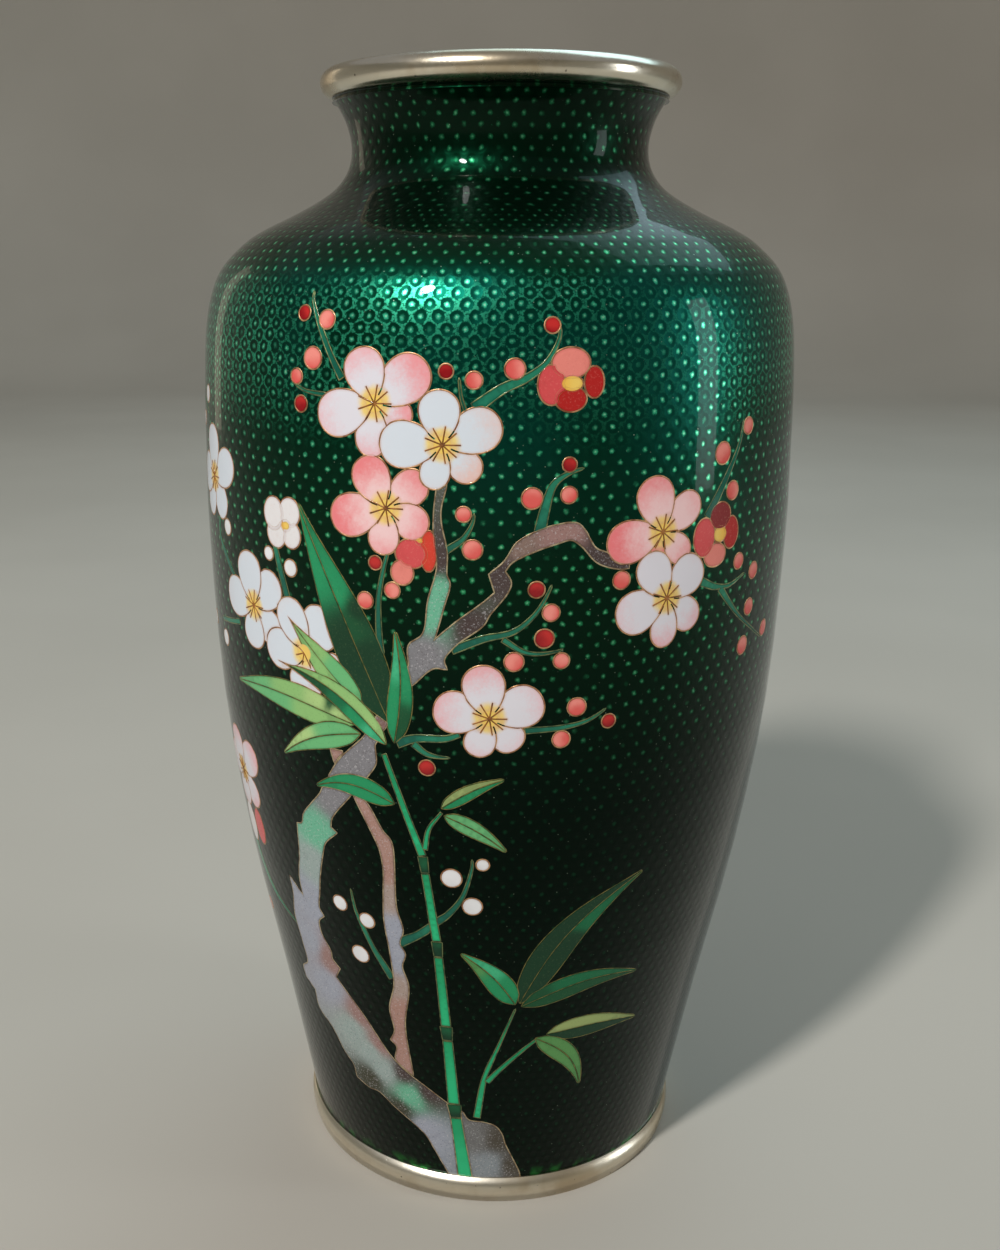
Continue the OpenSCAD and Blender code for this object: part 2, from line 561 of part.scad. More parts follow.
// Leaves
function leaf_a(l) = (l[0].x + l[1].x) / 2;
function leaf_spine(l) = spine(flat_xy(l[0], leaf_a(l)), flat_xy(l[1], leaf_a(l)), l[3]);
module leaf_flat(l) polygon(leaf_edge(leaf_spine(l), l[2]));
module leaf_cells_flat(l) difference() {
  cell() leaf_flat(l);
  polygon(strip(leaf_spine(l), wire_w, wire_w));
}
module leaf_mask(j) around(leaf_a(leaves[j])) leaf_flat(leaves[j]);
module leaf_masks() for (j = [0 : len(leaves) - 1]) leaf_mask(j);
// A flat shape on leaf j, less the later leaves of its spray
module on_leaf(j) difference() {
  around(leaf_a(leaves[j])) children();
  for (k = [j + 1 : 1 : len(leaves) - 1]) if (leaves[k][5] == leaves[j][5]) leaf_mask(k);
}
module leaves_of(tone) in_coat() for (j = [0 : len(leaves) - 1]) if (leaves[j][4] == tone)
  on_leaf(j) leaf_cells_flat(leaves[j]);
module pale_leaves() color("yellowgreen") leaves_of(pale);
module green_leaves() color("seagreen") leaves_of(green);
module dark_leaves() color("darkgreen") leaves_of(dark);
module leaf_wires() color("goldenrod") in_coat() for (j = [0 : len(leaves) - 1])
  on_leaf(j) difference() {
    leaf_flat(leaves[j]);
    leaf_cells_flat(leaves[j]);
  }

// Twigs
function twig_a(t) = (t[2][0].x + t[2][len(t[2]) - 1].x) / 2;
module twig_flat(t) polygon(strip(flat_all(t[2], twig_a(t)), t[0], t[1]));
module twig_masks() for (t = twig) around(twig_a(t)) twig_flat(t);
module behind_all() in_coat() difference() {
  union() children();
  flower_masks();
  opening_masks();
  leaf_masks();
  trunk_masks();
  plant() stalks_flat();
  bud_masks();
}
module twigs() color("teal") behind_all() for (t = twig) around(twig_a(t)) cell() twig_flat(t);
module twig_wires() color("goldenrod") behind_all() difference() {
  twig_masks();
  for (t = twig) around(twig_a(t)) cell() twig_flat(t);
}

// The green ground fills the rest of the coat
module ground_enamel() color("darkgreen") difference() {
  coat();
  flower_masks();
  opening_masks();
  leaf_masks();
  trunk_masks();
  plant() stalks_flat();
  bud_masks();
  twig_masks();
}

copper_body();
silver_foil();
ground_enamel();
inner_counter_enamel();
base_counter_enamel();
rim_ring();
foot_ring();
white_petals();
blush_petals();
pink_petals();
flower_hearts();
petal_wires();
stamen_wires();
red_opening_petals();
white_opening_petals();
opening_hearts();
opening_wires();
red_buds();
coral_buds();
white_buds();
bud_wires();
trunk();
trunk_root();
side_branch();
trunk_wires();
twigs();
twig_wires();
bamboo_stalk();
bamboo_joints();
bamboo_wires();
pale_leaves();
green_leaves();
dark_leaves();
leaf_wires();
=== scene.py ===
import json
import math

import bpy
import numpy as np
from mathutils import Euler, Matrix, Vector
from mathutils.bvhtree import BVHTree
from mathutils.geometry import delaunay_2d_cdt

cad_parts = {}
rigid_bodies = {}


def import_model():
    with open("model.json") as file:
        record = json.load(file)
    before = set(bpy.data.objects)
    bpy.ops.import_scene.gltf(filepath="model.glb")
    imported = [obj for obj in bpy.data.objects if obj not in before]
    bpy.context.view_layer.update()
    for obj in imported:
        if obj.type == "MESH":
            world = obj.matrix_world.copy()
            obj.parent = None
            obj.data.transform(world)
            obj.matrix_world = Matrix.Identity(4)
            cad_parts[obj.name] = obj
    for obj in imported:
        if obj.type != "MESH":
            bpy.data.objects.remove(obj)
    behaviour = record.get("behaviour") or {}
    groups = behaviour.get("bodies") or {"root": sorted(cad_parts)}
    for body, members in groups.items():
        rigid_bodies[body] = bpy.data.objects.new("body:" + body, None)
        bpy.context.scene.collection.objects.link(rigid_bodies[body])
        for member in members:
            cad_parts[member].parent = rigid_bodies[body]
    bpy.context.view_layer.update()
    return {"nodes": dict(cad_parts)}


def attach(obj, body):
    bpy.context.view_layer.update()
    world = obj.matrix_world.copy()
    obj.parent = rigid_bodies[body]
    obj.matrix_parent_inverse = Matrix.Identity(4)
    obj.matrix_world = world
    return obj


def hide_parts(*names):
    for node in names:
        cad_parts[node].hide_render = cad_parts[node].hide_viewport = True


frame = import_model()
nodes = frame["nodes"]
scene = bpy.context.scene
mm = 0.001
print("frame:", len(nodes), "nodes")

# What the photograph settles: places in its own frame of 1000 by 1250

photo = {"width": 1000, "height": 1250, "rowHalf": 6}  # rowHalf: how far off its row a side may be read
tiny = 1e-9  # keeps a division from meeting zero
imagePoints = {
    "vaseLeft": (205, 370),
    "vaseRight": (795, 370),
    "vaseTop": (498, 50),
    "vaseBottom": (498, 1200),
    "neckLeft": (350, 155),
    "neckRight": (648, 155),
    "footLeft": (314, 1086),
    "footRight": (665, 1086),
    "flowerHighLeft": (375, 402),
    "flowerHighMiddle": (440, 445),
    "flowerPink": (386, 508),
    "flowerRight": (664, 531),
    "flowerRightLow": (666, 598),
    "flowerLow": (489, 718),
    "flowerLeft": (254, 609),
}

camera = {
    "lens": 39.0, "sensor": 36.0,  # in the millimetres that Blender gives a lens
    "place": (-12.7 * mm, -305.8 * mm, 211.0 * mm),
    "pitchDown": 15.9, "shiftX": 0.048, "nearest": 0.01,
}


def addCamera():
    data = bpy.data.cameras.new("photoCamera")
    data.sensor_fit = "AUTO"
    data.sensor_width = camera["sensor"]
    data.lens = camera["lens"]
    data.shift_x = camera["shiftX"]
    data.clip_start = camera["nearest"]
    obj = bpy.data.objects.new("photoCamera", data)
    obj.location = camera["place"]
    obj.rotation_euler = Euler((math.radians(90 - camera["pitchDown"]), 0, 0))
    scene.collection.objects.link(obj)
    scene.camera = obj
    bpy.context.view_layer.update()
    return obj


cameraObject = addCamera()
focal = photo["height"] * camera["lens"] / camera["sensor"]  # the photograph's longer side spans the sensor
axisX, axisY = photo["width"] / 2 - camera["shiftX"] * photo["height"], photo["height"] / 2


def photoRay(x, y):  # the direction in which the camera sees a place of the photograph
    ray = Vector((x - axisX, axisY - y, -focal))
    return (cameraObject.matrix_world.to_3x3() @ ray).normalized()


def photoPlace(points):  # where points of the model show in the photograph
    turn = np.array(cameraObject.matrix_world.to_3x3())
    local = (np.asarray(points) - np.array(cameraObject.location)) @ turn
    scale = focal / -local[:, 2]
    return np.c_[axisX + local[:, 0] * scale, axisY - local[:, 1] * scale]


# Shader maths as plain expressions

def operation(kind):
    return lambda value, *others: value.maths(kind, *others)


class Value:
    def __init__(self, look, socket):
        self.look = look
        self.socket = socket

    def maths(self, kind, *others):
        return self.look.add("ShaderNodeMath", {"operation": kind}, (self,) + others)

    __add__ = __radd__ = operation("ADD")
    __sub__ = operation("SUBTRACT")
    __mul__ = __rmul__ = operation("MULTIPLY")
    __truediv__ = operation("DIVIDE")
    __pow__ = operation("POWER")
    least = operation("MINIMUM")

    def __rsub__(self, other):
        return self.look.add("ShaderNodeMath", {"operation": "SUBTRACT"}, (other, self))

    def between(self, low, high):  # takes 0 to 1 over to low to high
        return self * (high - low) + low

    def wrapped(self):  # goes round from -0.5 to 0.5
        return self.maths("WRAP", 0.5, -0.5)

    def ramp(self, low, high):  # 0 below low, 1 above high, with a soft start and end
        return self.look.add("ShaderNodeMapRange", {"interpolation_type": "SMOOTHSTEP", "clamp": True},
                             {"Value": self, "From Min": low, "From Max": high})

    def band(self, low, high, highEnd, lowEnd):  # rises from low to high and falls from highEnd to lowEnd
        return self.ramp(low, high) * (1 - self.ramp(highEnd, lowEnd))


socketNames = {
    "colour": "Base Color", "roughness": "Roughness", "metallic": "Metallic", "normal": "Normal",
    "specular": "Specular IOR Level",
    "coat": "Coat Weight", "coatRoughness": "Coat Roughness", "coatIor": "Coat IOR",
}
mixSockets = {"share": 0, "first": 6, "second": 7, "colour": 2}  # the colour sockets of a Mix node


class Look:
    def __init__(self, name, **settings):
        self.material = bpy.data.materials.new(name)
        self.material.use_nodes = True
        self.tree = self.material.node_tree
        self.shader = self.tree.nodes["Principled BSDF"]
        for key, value in settings.items():
            self.set(key, value)

    def set(self, key, value):
        self.feed(self.shader.inputs[socketNames[key]], value)

    def feed(self, socket, value):
        if isinstance(value, Value):
            self.tree.links.new(value.socket, socket)
        elif isinstance(value, (tuple, list)) and len(value) == 3 and socket.type == "RGBA":
            socket.default_value = tuple(value) + (1.0,)
        else:
            socket.default_value = value

    def add(self, kind, settings=None, inputs=(), out=0):
        node = self.tree.nodes.new(kind)
        for key, value in (settings or {}).items():
            setattr(node, key, value)
        pairs = inputs.items() if isinstance(inputs, dict) else enumerate(inputs)
        for key, value in pairs:
            self.feed(node.inputs[key], value)
        return Value(self, node.outputs[out])

    def split(self, kind, value, *names):  # several outputs of the node that takes a value apart
        node = self.add(kind, {}, (value,)).socket.node
        return [Value(self, node.outputs[name]) for name in names]

    def place(self):
        return self.add("ShaderNodeTexCoord", out="Object")

    def height(self):  # above the table, in millimetres
        return self.split("ShaderNodeSeparateXYZ", self.place(), "Z")[0] / mm

    def carried(self, name, out="Fac"):  # an attribute that the piece carries at its points
        return self.add("ShaderNodeAttribute", {"attribute_name": name}, out=out)

    def noise(self, size, detail, roughness=0.5, out=0):
        inputs = {"Vector": self.place(), "Scale": 1 / size, "Detail": detail, "Roughness": roughness}
        return self.add("ShaderNodeTexNoise", {"noise_dimensions": "3D"}, inputs, out=out)

    def dots(self, size, core, rim):  # 1 in scattered spots that fade out from core to rim, as shares of size
        spread = self.add("ShaderNodeTexVoronoi", {"feature": "F1"},
                          {"Vector": self.place(), "Scale": 1 / size, "Randomness": 1.0}, out="Distance")
        return 1 - spread.ramp(core, rim)

    def mix(self, share, first, second):
        inputs = {mixSockets["share"]: share, mixSockets["first"]: first, mixSockets["second"]: second}
        return self.add("ShaderNodeMix", {"data_type": "RGBA"}, inputs, out=mixSockets["colour"])

    def bump(self, height, strength, distance):
        return self.add("ShaderNodeBump", {}, {"Height": height, "Strength": strength, "Distance": distance},
                        out="Normal")


def rgb(red, green, blue):  # screen colours from 0 to 255, as light
    def light(c):  # the usual curve of a screen's colours
        c = c / 255
        return c / 12.92 if c <= 0.04045 else ((c + 0.055) / 1.055) ** 2.4
    return (light(red), light(green), light(blue))


# The wall: its outline is read from the rings of points that the ground enamel has at the back

wall = {
    "steps": 8, "skin": 0.05 * mm, "around": 180,
    "backFrom": 20 * mm, "rayFrom": 200 * mm, "match": 0.01 * mm,  # which of the points are taken
}


def nodeMesh(name):
    mesh = nodes[name].data
    points = np.zeros(len(mesh.vertices) * 3)
    mesh.vertices.foreach_get("co", points)
    mesh.calc_loop_triangles()
    faces = np.zeros(len(mesh.loop_triangles) * 3, dtype=int)
    mesh.loop_triangles.foreach_get("vertices", faces)
    points = points.reshape(-1, 3)
    spots, same = np.unique(np.round(points / mm, 3), axis=0, return_inverse=True)
    return spots * mm, same.reshape(-1)[faces.reshape(-1, 3)]


def smoothLine(points, steps):  # a soft curve through the points
    p = np.vstack([2 * points[0] - points[1], points, 2 * points[-1] - points[-2]])
    line = []
    for a, b, c, d in zip(p[:-3], p[1:-2], p[2:-1], p[3:]):
        for t in np.arange(steps) / steps:
            line.append(0.5 * (2 * b + (c - a) * t + (2 * a - 5 * b + 4 * c - d) * t * t
                               + (3 * b - a - 3 * c + d) * t ** 3))
    line.append(points[-1])
    return np.array(line)


def readOutline():
    points, faces = nodeMesh("ground_enamel")
    tree = BVHTree.FromPolygons([Vector(p) for p in points], faces.tolist())
    rings = {}
    for x, y, z in points[points[:, 1] > wall["backFrom"]]:
        radius = math.hypot(x, y)
        away = Vector((x, y, 0)).normalized()
        hit = tree.ray_cast(away * wall["rayFrom"] + Vector((0, 0, z)), -away)[0]
        if hit and abs(math.hypot(hit.x, hit.y) - radius) < wall["match"]:
            rings[round(z / mm, 2)] = radius
    return np.array([(r, z * mm) for z, r in sorted(rings.items())])


rings = readOutline()
outline = smoothLine(rings, wall["steps"])
wallRadius, wallHeight = outline[:, 0], outline[:, 1]
wallRun = np.concatenate([[0], np.cumsum(np.hypot(np.diff(wallRadius), np.diff(wallHeight)))])
slopeR, slopeZ = np.gradient(wallRadius, wallRun), np.gradient(wallHeight, wallRun)
print("wall: rings", len(rings), "run", round(wallRun[-1] / mm, 1), "mm")


def outwards(run):  # the way out of the wall, in radius and height
    return np.interp(run, wallRun, slopeZ), -np.interp(run, wallRun, slopeR)


def onWall(angle, run, depth=0.0):  # a place on the wall from its angle, its run up the outline and its depth
    radius, height = np.interp(run, wallRun, wallRadius), np.interp(run, wallRun, wallHeight)
    outR, outZ = outwards(run)
    size = np.hypot(outR, outZ)
    radius, height = radius - depth * outR / size, height - depth * outZ / size
    return np.stack([radius * np.sin(angle), -radius * np.cos(angle), height], -1)


def wallMesh():
    around = wall["around"]
    grid = np.meshgrid(np.linspace(-math.pi, math.pi, around + 1), wallRun)
    points = onWall(grid[0].ravel(), grid[1].ravel())
    wide = around + 1
    faces = [(k * wide + i, k * wide + i + 1, (k + 1) * wide + i + 1, (k + 1) * wide + i)
             for k in range(len(wallRun) - 1) for i in range(around)]
    return BVHTree.FromPolygons([Vector(p) for p in points], faces)


wallTree = wallMesh()


def toWall(points):  # (angle, run) of points
    return np.c_[np.arctan2(points[:, 0], -points[:, 1]), np.interp(points[:, 2], wallHeight, wallRun)]


# Outlines of the inlaid cells, from the outer faces of the CAD nodes

cellShape = {
    "outer": 0.3 * mm, "facing": 0.6,  # how near the wall's surface and its direction a cell's top is
    "corner": 58, "step": 0.45 * mm, "slack": 0.03 * mm,  # corner: the turn in degrees that stays sharp
    "smallest": 0.15 * mm * mm,
    "grid": 0.9 * mm, "rowStep": 0.866, "edgeClear": 0.45,  # points inside, the last two as shares of grid
    "weld": 1e-6,
}


def edgesOf(faces):  # each triangle's sides, with their direction
    return {(int(i), int(j)) for a, b, c in faces for i, j in ((a, b), (b, c), (c, a))}


def outerLoops(name):
    points, faces = nodeMesh(name)
    radius = np.hypot(points[:, 0], points[:, 1])
    outer = np.abs(radius - np.interp(points[:, 2], wallHeight, wallRadius)) < cellShape["outer"]
    a, b, c = points[faces[:, 0]], points[faces[:, 1]], points[faces[:, 2]]
    normal = np.cross(b - a, c - a)
    middle = (a + b + c) / 3
    outR, outZ = outwards(np.interp(middle[:, 2], wallHeight, wallRun))
    flat = np.hypot(middle[:, 0], middle[:, 1])
    away = np.c_[middle[:, 0] / flat * outR, middle[:, 1] / flat * outR, outZ]
    sizes = np.linalg.norm(normal, axis=1) * np.linalg.norm(away, axis=1)
    facing = (normal * away).sum(1) > cellShape["facing"] * sizes
    sides = edgesOf(faces[outer[faces].all(1) & facing])
    after = {}
    for i, j in sides:
        if (j, i) not in sides:
            after.setdefault(i, []).append(j)
    loops = []
    while after:
        start = next(iter(after))
        loop, here = [], start
        while here in after:
            loop.append(here)
            onward = after[here].pop()
            if not after[here]:
                del after[here]
            here = onward
        if len(loop) > 2:
            loops.append(toWall(points[loop]))
    return loops


def area(flat):
    x, y = flat[:, 0], flat[:, 1]
    return 0.5 * (x * np.roll(y, -1) - np.roll(x, -1) * y).sum()


def thin(points, slack):  # drops the points of an open line that lie on straight stretches
    if len(points) < 3:
        return points
    a, b = points[0], points[-1]
    way = b - a
    size = np.hypot(*way)
    if size > tiny:
        off = np.abs(way[0] * (points[:, 1] - a[1]) - way[1] * (points[:, 0] - a[0])) / size
    else:
        off = np.hypot(*(points - a).T)
    i = int(off.argmax())
    if off[i] < slack:
        return np.array([a, b])
    return np.vstack([thin(points[:i + 1], slack)[:-1], thin(points[i:], slack)])


def curveBetween(a, b, c, d, steps):  # points of the soft curve from b to c, with their neighbours a and d
    ends = [max(np.hypot(*(q - p)), tiny) for p, q in ((a, b), (b, c), (c, d))]
    t0, t1, t2, t3 = np.cumsum([0] + [e ** 0.5 for e in ends])
    for t in np.linspace(t1, t2, steps, endpoint=False):
        ab = a * (t1 - t) / (t1 - t0) + b * (t - t0) / (t1 - t0)
        bc = b * (t2 - t) / (t2 - t1) + c * (t - t1) / (t2 - t1)
        cd = c * (t3 - t) / (t3 - t2) + d * (t - t2) / (t3 - t2)
        abc = ab * (t2 - t) / (t2 - t0) + bc * (t - t0) / (t2 - t0)
        bcd = bc * (t3 - t) / (t3 - t1) + cd * (t - t1) / (t3 - t1)
        yield abc * (t2 - t) / (t2 - t1) + bcd * (t - t1) / (t2 - t1)


def softened(flat):  # the cell's outline with its facets rounded and its corners kept
    far = int(np.hypot(*(flat - flat.mean(0)).T).argmax())
    ring = np.roll(flat, -far, axis=0)
    ring = thin(np.vstack([ring, ring[:1]]), cellShape["slack"])[:-1]
    if len(ring) < 3:
        return None
    back, onward = ring - np.roll(ring, 1, axis=0), np.roll(ring, -1, axis=0) - ring
    cross = back[:, 0] * onward[:, 1] - back[:, 1] * onward[:, 0]
    turn = np.degrees(np.arctan2(cross, (back * onward).sum(1)))
    sharp = np.abs(turn) > cellShape["corner"]
    count, out = len(ring), []
    for i in range(count):
        b, c = ring[i], ring[(i + 1) % count]
        a = 2 * b - c if sharp[i] else ring[i - 1]
        d = 2 * c - b if sharp[(i + 1) % count] else ring[(i + 2) % count]
        steps = max(1, round(np.hypot(*(c - b)) / cellShape["step"]))
        out.extend(curveBetween(a, b, c, d, steps))
    return np.array(out)


def chart(loop):  # the loop laid flat in metres, with what takes it back to the wall
    radius = np.interp(loop[:, 1].mean(), wallRun, wallRadius)
    return loop * [radius, 1], radius


def seenOnWall(x, y):  # (angle, run) of what shows at a place of the photograph
    eye, ray = cameraObject.location, photoRay(x, y)
    hit = wallTree.ray_cast(eye, ray)[0]
    if hit is None:
        hit = wallTree.find_nearest(eye + ray * (-eye.dot(ray)))[0]
    return toWall(np.array([hit]))[0]


cells = {}


def cellsOf(name):  # a node's cells: the outline laid flat, and the wall's radius there
    if name not in cells:
        cells[name] = []
        for loop in outerLoops(name):
            flat, radius = chart(loop)
            if area(flat) < cellShape["smallest"]:
                continue
            flat = softened(flat)
            if flat is not None:
                cells[name].append({"flat": flat, "radius": radius})
    return cells[name]


def inside(points, ring):  # even and odd crossings
    x, y = points[:, :1], points[:, 1:]
    ax, ay = ring[:, 0], ring[:, 1]
    bx, by = np.roll(ax, -1), np.roll(ay, -1)
    meets = (bx - ax) * (y - ay) / np.where(by == ay, tiny, by - ay) + ax
    return (((ay > y) != (by > y)) & (x < meets)).sum(1) % 2 == 1


def edgeDistance(points, ring):
    a, b = ring, np.roll(ring, -1, axis=0)
    way = b - a
    rel = points[:, None, :] - a[None]
    t = np.clip((rel * way).sum(2) / np.maximum((way * way).sum(1), tiny * mm), 0, 1)
    gap = rel - t[:, :, None] * way
    return np.hypot(gap[:, :, 0], gap[:, :, 1]).min(1)


def patch(flat):  # triangles over a flat outline
    low, high = flat.min(0), flat.max(0)
    grid = cellShape["grid"]
    rows = np.arange(low[1], high[1], grid * cellShape["rowStep"])
    columns = np.arange(low[0], high[0], grid)
    inner = [(x + (k % 2) * grid / 2, y) for k, y in enumerate(rows) for x in columns]
    inner = np.array(inner).reshape(-1, 2)
    if len(inner):
        inner = inner[inside(inner, flat)]
    if len(inner):
        inner = inner[edgeDistance(inner, flat) > grid * cellShape["edgeClear"]]
    spots = np.vstack([flat, inner]) if len(inner) else flat
    ring = [(i, (i + 1) % len(flat)) for i in range(len(flat))]
    made, _, faces, *_ = delaunay_2d_cdt([Vector(p) for p in spots / mm], ring, [], 0, cellShape["weld"])
    made = np.array([tuple(v) for v in made]) * mm
    faces = np.array([f for f in faces if len(f) == 3])
    middle = made[faces].mean(1)
    return made, faces[inside(middle, flat)]


sharpFrom = 40  # degrees: a steeper fold of a mesh stays a crisp edge


def newObject(name, points, faces, values=None, edges=()):
    mesh = bpy.data.meshes.new(name)
    mesh.from_pydata([tuple(p) for p in points], list(edges), [tuple(int(i) for i in f) for f in faces])
    for key, numbers in (values or {}).items():
        numbers = np.asarray(numbers, np.float32)
        if numbers.ndim == 1:
            mesh.attributes.new(key, "FLOAT", "POINT").data.foreach_set("value", numbers)
        else:
            solid = np.c_[numbers, np.ones(len(numbers))].astype(np.float32)
            mesh.attributes.new(key, "FLOAT_COLOR", "POINT").data.foreach_set("color", solid.ravel())
    mesh.validate()
    if len(faces):
        mesh.shade_smooth()
        mesh.set_sharp_from_angle(angle=math.radians(sharpFrom))
    obj = bpy.data.objects.new(name, mesh)
    scene.collection.objects.link(obj)
    return obj


def finishPiece(obj, look, slot, *replaced):
    obj.data.materials.clear()
    obj.data.materials.append(look.material)
    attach(obj, "root")
    if replaced:
        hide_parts(*replaced)
    return obj


inlay = {
    "top": 0.012 * mm, "bottom": 0.35 * mm,  # depths below the wall's surface
    "lift": 0.002 * mm, "layers": 5,  # neighbouring cells lie at slightly different depths
    "scatter": (12.9898, 43758.5453),
}


def chanceOf(order):  # a number from 0 to 1 that differs from cell to cell
    turn, size = inlay["scatter"]
    return (math.sin((order + 1) * turn) * size) % 1


def addInlay(name, node, look, slot, carry):  # carry gives the values that the look reads
    points, faces, values, count = [], [], {}, 0
    for order, cell in enumerate(cellsOf(node)):
        top = inlay["top"] - inlay["lift"] * (order % inlay["layers"])
        flat, tris = patch(cell["flat"])
        if not len(tris):
            continue
        angle, run = flat[:, 0] / cell["radius"], flat[:, 1]
        size = len(flat)
        turned = area(flat[tris[0]]) < 0
        tris = tris[:, ::-1] if turned else tris
        sides = edgesOf(tris)
        rim = [(i, j) for i, j in sides if (j, i) not in sides]
        points += [onWall(angle, run, top), onWall(angle, run, inlay["bottom"])]
        faces += [f + count for f in tris] + [f[::-1] + count + size for f in tris]
        for i, j in rim:
            faces += [np.array((j, i, i + size)) + count, np.array((j, i + size, j + size)) + count]
        own = carry(cell, flat)
        own["edge"] = edgeDistance(flat, cell["flat"]) / mm
        own["chance"] = np.full(size, chanceOf(order))
        for key, numbers in own.items():
            values.setdefault(key, []).extend([numbers, numbers])
        count += 2 * size
    joined = {key: np.concatenate(v) for key, v in values.items()}
    obj = newObject(name, np.vstack(points), faces, joined)
    return finishPiece(obj, look, slot, node)


# Wires: a thin tube along the outline of each cell

wire = {
    "radius": 0.24 * mm, "sides": 8, "gap": 0.16 * mm, "heartClear": 3 * mm,
    "blunt": 0.6, "longest": 1.6,  # how far an outline's sharp corners may reach when it is widened
}


def wireTree():
    tree = bpy.data.node_groups.new("wireAlongOutline", "GeometryNodeTree")
    tree.interface.new_socket("Geometry", in_out="INPUT", socket_type="NodeSocketGeometry")
    for label, kind in (("Radius", "Float"), ("Sides", "Int"), ("Finish", "Material")):
        tree.interface.new_socket(label, in_out="INPUT", socket_type="NodeSocket" + kind)
    tree.interface.new_socket("Geometry", in_out="OUTPUT", socket_type="NodeSocketGeometry")
    start, end = tree.nodes.new("NodeGroupInput"), tree.nodes.new("NodeGroupOutput")
    steps = ("MeshToCurve", "CurvePrimitiveCircle", "CurveToMesh", "SetShadeSmooth", "RealizeInstances",
             "SetMaterial")
    path, profile, sweep, shade, real, finish = (tree.nodes.new("GeometryNode" + step) for step in steps)
    sweep.inputs["Fill Caps"].default_value = True
    for giver, output, taker, entry in (
            (start, "Geometry", path, "Mesh"), (start, "Radius", profile, "Radius"),
            (start, "Sides", profile, "Resolution"), (path, "Curve", sweep, "Curve"),
            (profile, "Curve", sweep, "Profile Curve"), (sweep, "Mesh", shade, "Geometry"),
            (shade, "Geometry", real, "Geometry"), (real, "Geometry", finish, "Geometry"),
            (start, "Finish", finish, "Material"), (finish, "Geometry", end, "Geometry")):
        tree.links.new(giver.outputs[output], taker.inputs[entry])
    return tree


wireNodes = wireTree()


def widened(flat, gap):  # the outline moved outwards
    back, onward = flat - np.roll(flat, 1, axis=0), np.roll(flat, -1, axis=0) - flat
    back /= np.maximum(np.hypot(*back.T), tiny)[:, None]
    onward /= np.maximum(np.hypot(*onward.T), tiny)[:, None]
    out = np.c_[back[:, 1] + onward[:, 1], -back[:, 0] - onward[:, 0]]
    size = np.maximum(np.hypot(*out.T), wire["blunt"])
    return flat + out / size[:, None] * gap * np.minimum(2 / size, wire["longest"])[:, None]


def addWires(name, paths, look, slot, *replaced, radius=None, top=0.0):
    radius = radius or wire["radius"]
    points, edges, count = [], [], 0
    for flat, wallR, closed in paths:
        points.append(onWall(flat[:, 0] / wallR, flat[:, 1], radius + top))
        last = len(flat) if closed else len(flat) - 1
        edges += [(count + i, count + (i + 1) % len(flat)) for i in range(last)]
        count += len(flat)
    line = newObject(name + "Path", np.vstack(points), [], edges=edges)
    modifier = line.modifiers.new("wire", "NODES")
    modifier.node_group = wireNodes
    sockets = {s.name: s.identifier for s in wireNodes.interface.items_tree if s.in_out == "INPUT"}
    modifier[sockets["Radius"]] = radius
    modifier[sockets["Sides"]] = wire["sides"]
    modifier[sockets["Finish"]] = look.material
    bpy.context.view_layer.update()
    graph = bpy.context.evaluated_depsgraph_get()
    mesh = bpy.data.meshes.new_from_object(line.evaluated_get(graph))
    bpy.data.objects.remove(line)
    mesh.name = name
    obj = bpy.data.objects.new(name, mesh)
    scene.collection.objects.link(obj)
    return finishPiece(obj, look, slot, *replaced)


def roundCells(names):
    return [(widened(c["flat"], wire["gap"]), c["radius"], True) for n in names for c in cellsOf(n)]


def nearestHeart(place, radius):  # which flower's heart lies nearest, and where it is when laid flat
    spots = np.array([[c[0] * radius, c[1]] for c in centres])
    order = int(np.hypot(*(spots - place).T).argmin())
    return order, spots[order]


def petalPaths(names):  # the wires between the petals stop at the heart
    paths = []
    for flat, radius, _ in roundCells(names):
        home = nearestHeart(flat.mean(0), radius)[1]
        near = np.hypot(*(flat - home).T) < wire["heartClear"]
        if not near.any():
            paths.append((flat, radius, True))
            continue
        first = next(i for i in range(len(near)) if near[i - 1] and not near[i])
        flat, near = np.roll(flat, -first, axis=0), np.roll(near, -first)
        starts = [i for i in range(len(near)) if not near[i] and (i == 0 or near[i - 1])]
        for i in starts:
            stop = next((j for j in range(i, len(near)) if near[j]), len(near))
            if stop - i > 2:
                paths.append((flat[i:stop], radius, False))
    return paths


def grow(name, gap):  # closes the gaps of the cells that the CAD keeps apart
    for cell in cellsOf(name):
        cell["flat"] = widened(cell["flat"], gap)


def glaze(name):  # polished enamel
    return Look(name, roughness=0.5, specular=0.0, coat=1.0, coatRoughness=0.04, coatIor=1.38)


def rimmed(look, shade, colour, dark):  # darker within the rim along the wires
    return look.mix((1 - look.carried("edge").ramp(*shade["rim"])) * shade["rimShare"], colour, dark)


foil = {  # lengths in millimetres
    "pitch": 3.4, "row": 2.15, "cup": 1.2, "depth": 0.05, "stray": 1.1,
    "upper": (98, 194), "neck": (206, 216), "shoulder": (146, 196, 203, 209),  # heights of the painted glints, fewer on the neck, and of the painted sheen on the shoulder; net below: heights of the painted highlight net
    "highlightNet": (172, 192, 200, 207), "pool": (6.6, 9.5),
}
# lit, litTeal and spark: painted glints on the foil; teal: painted sheen on the shoulder; low: painted shade
# low on the wall
greens = {
    "low": rgb(2, 20, 11), "high": rgb(3, 52, 30), "teal": rgb(4, 84, 76), "pool": rgb(30, 110, 46),
    "lit": rgb(70, 228, 150), "litTeal": rgb(80, 232, 196),
    "spark": rgb(190, 250, 214), "speck": rgb(206, 236, 206),
}


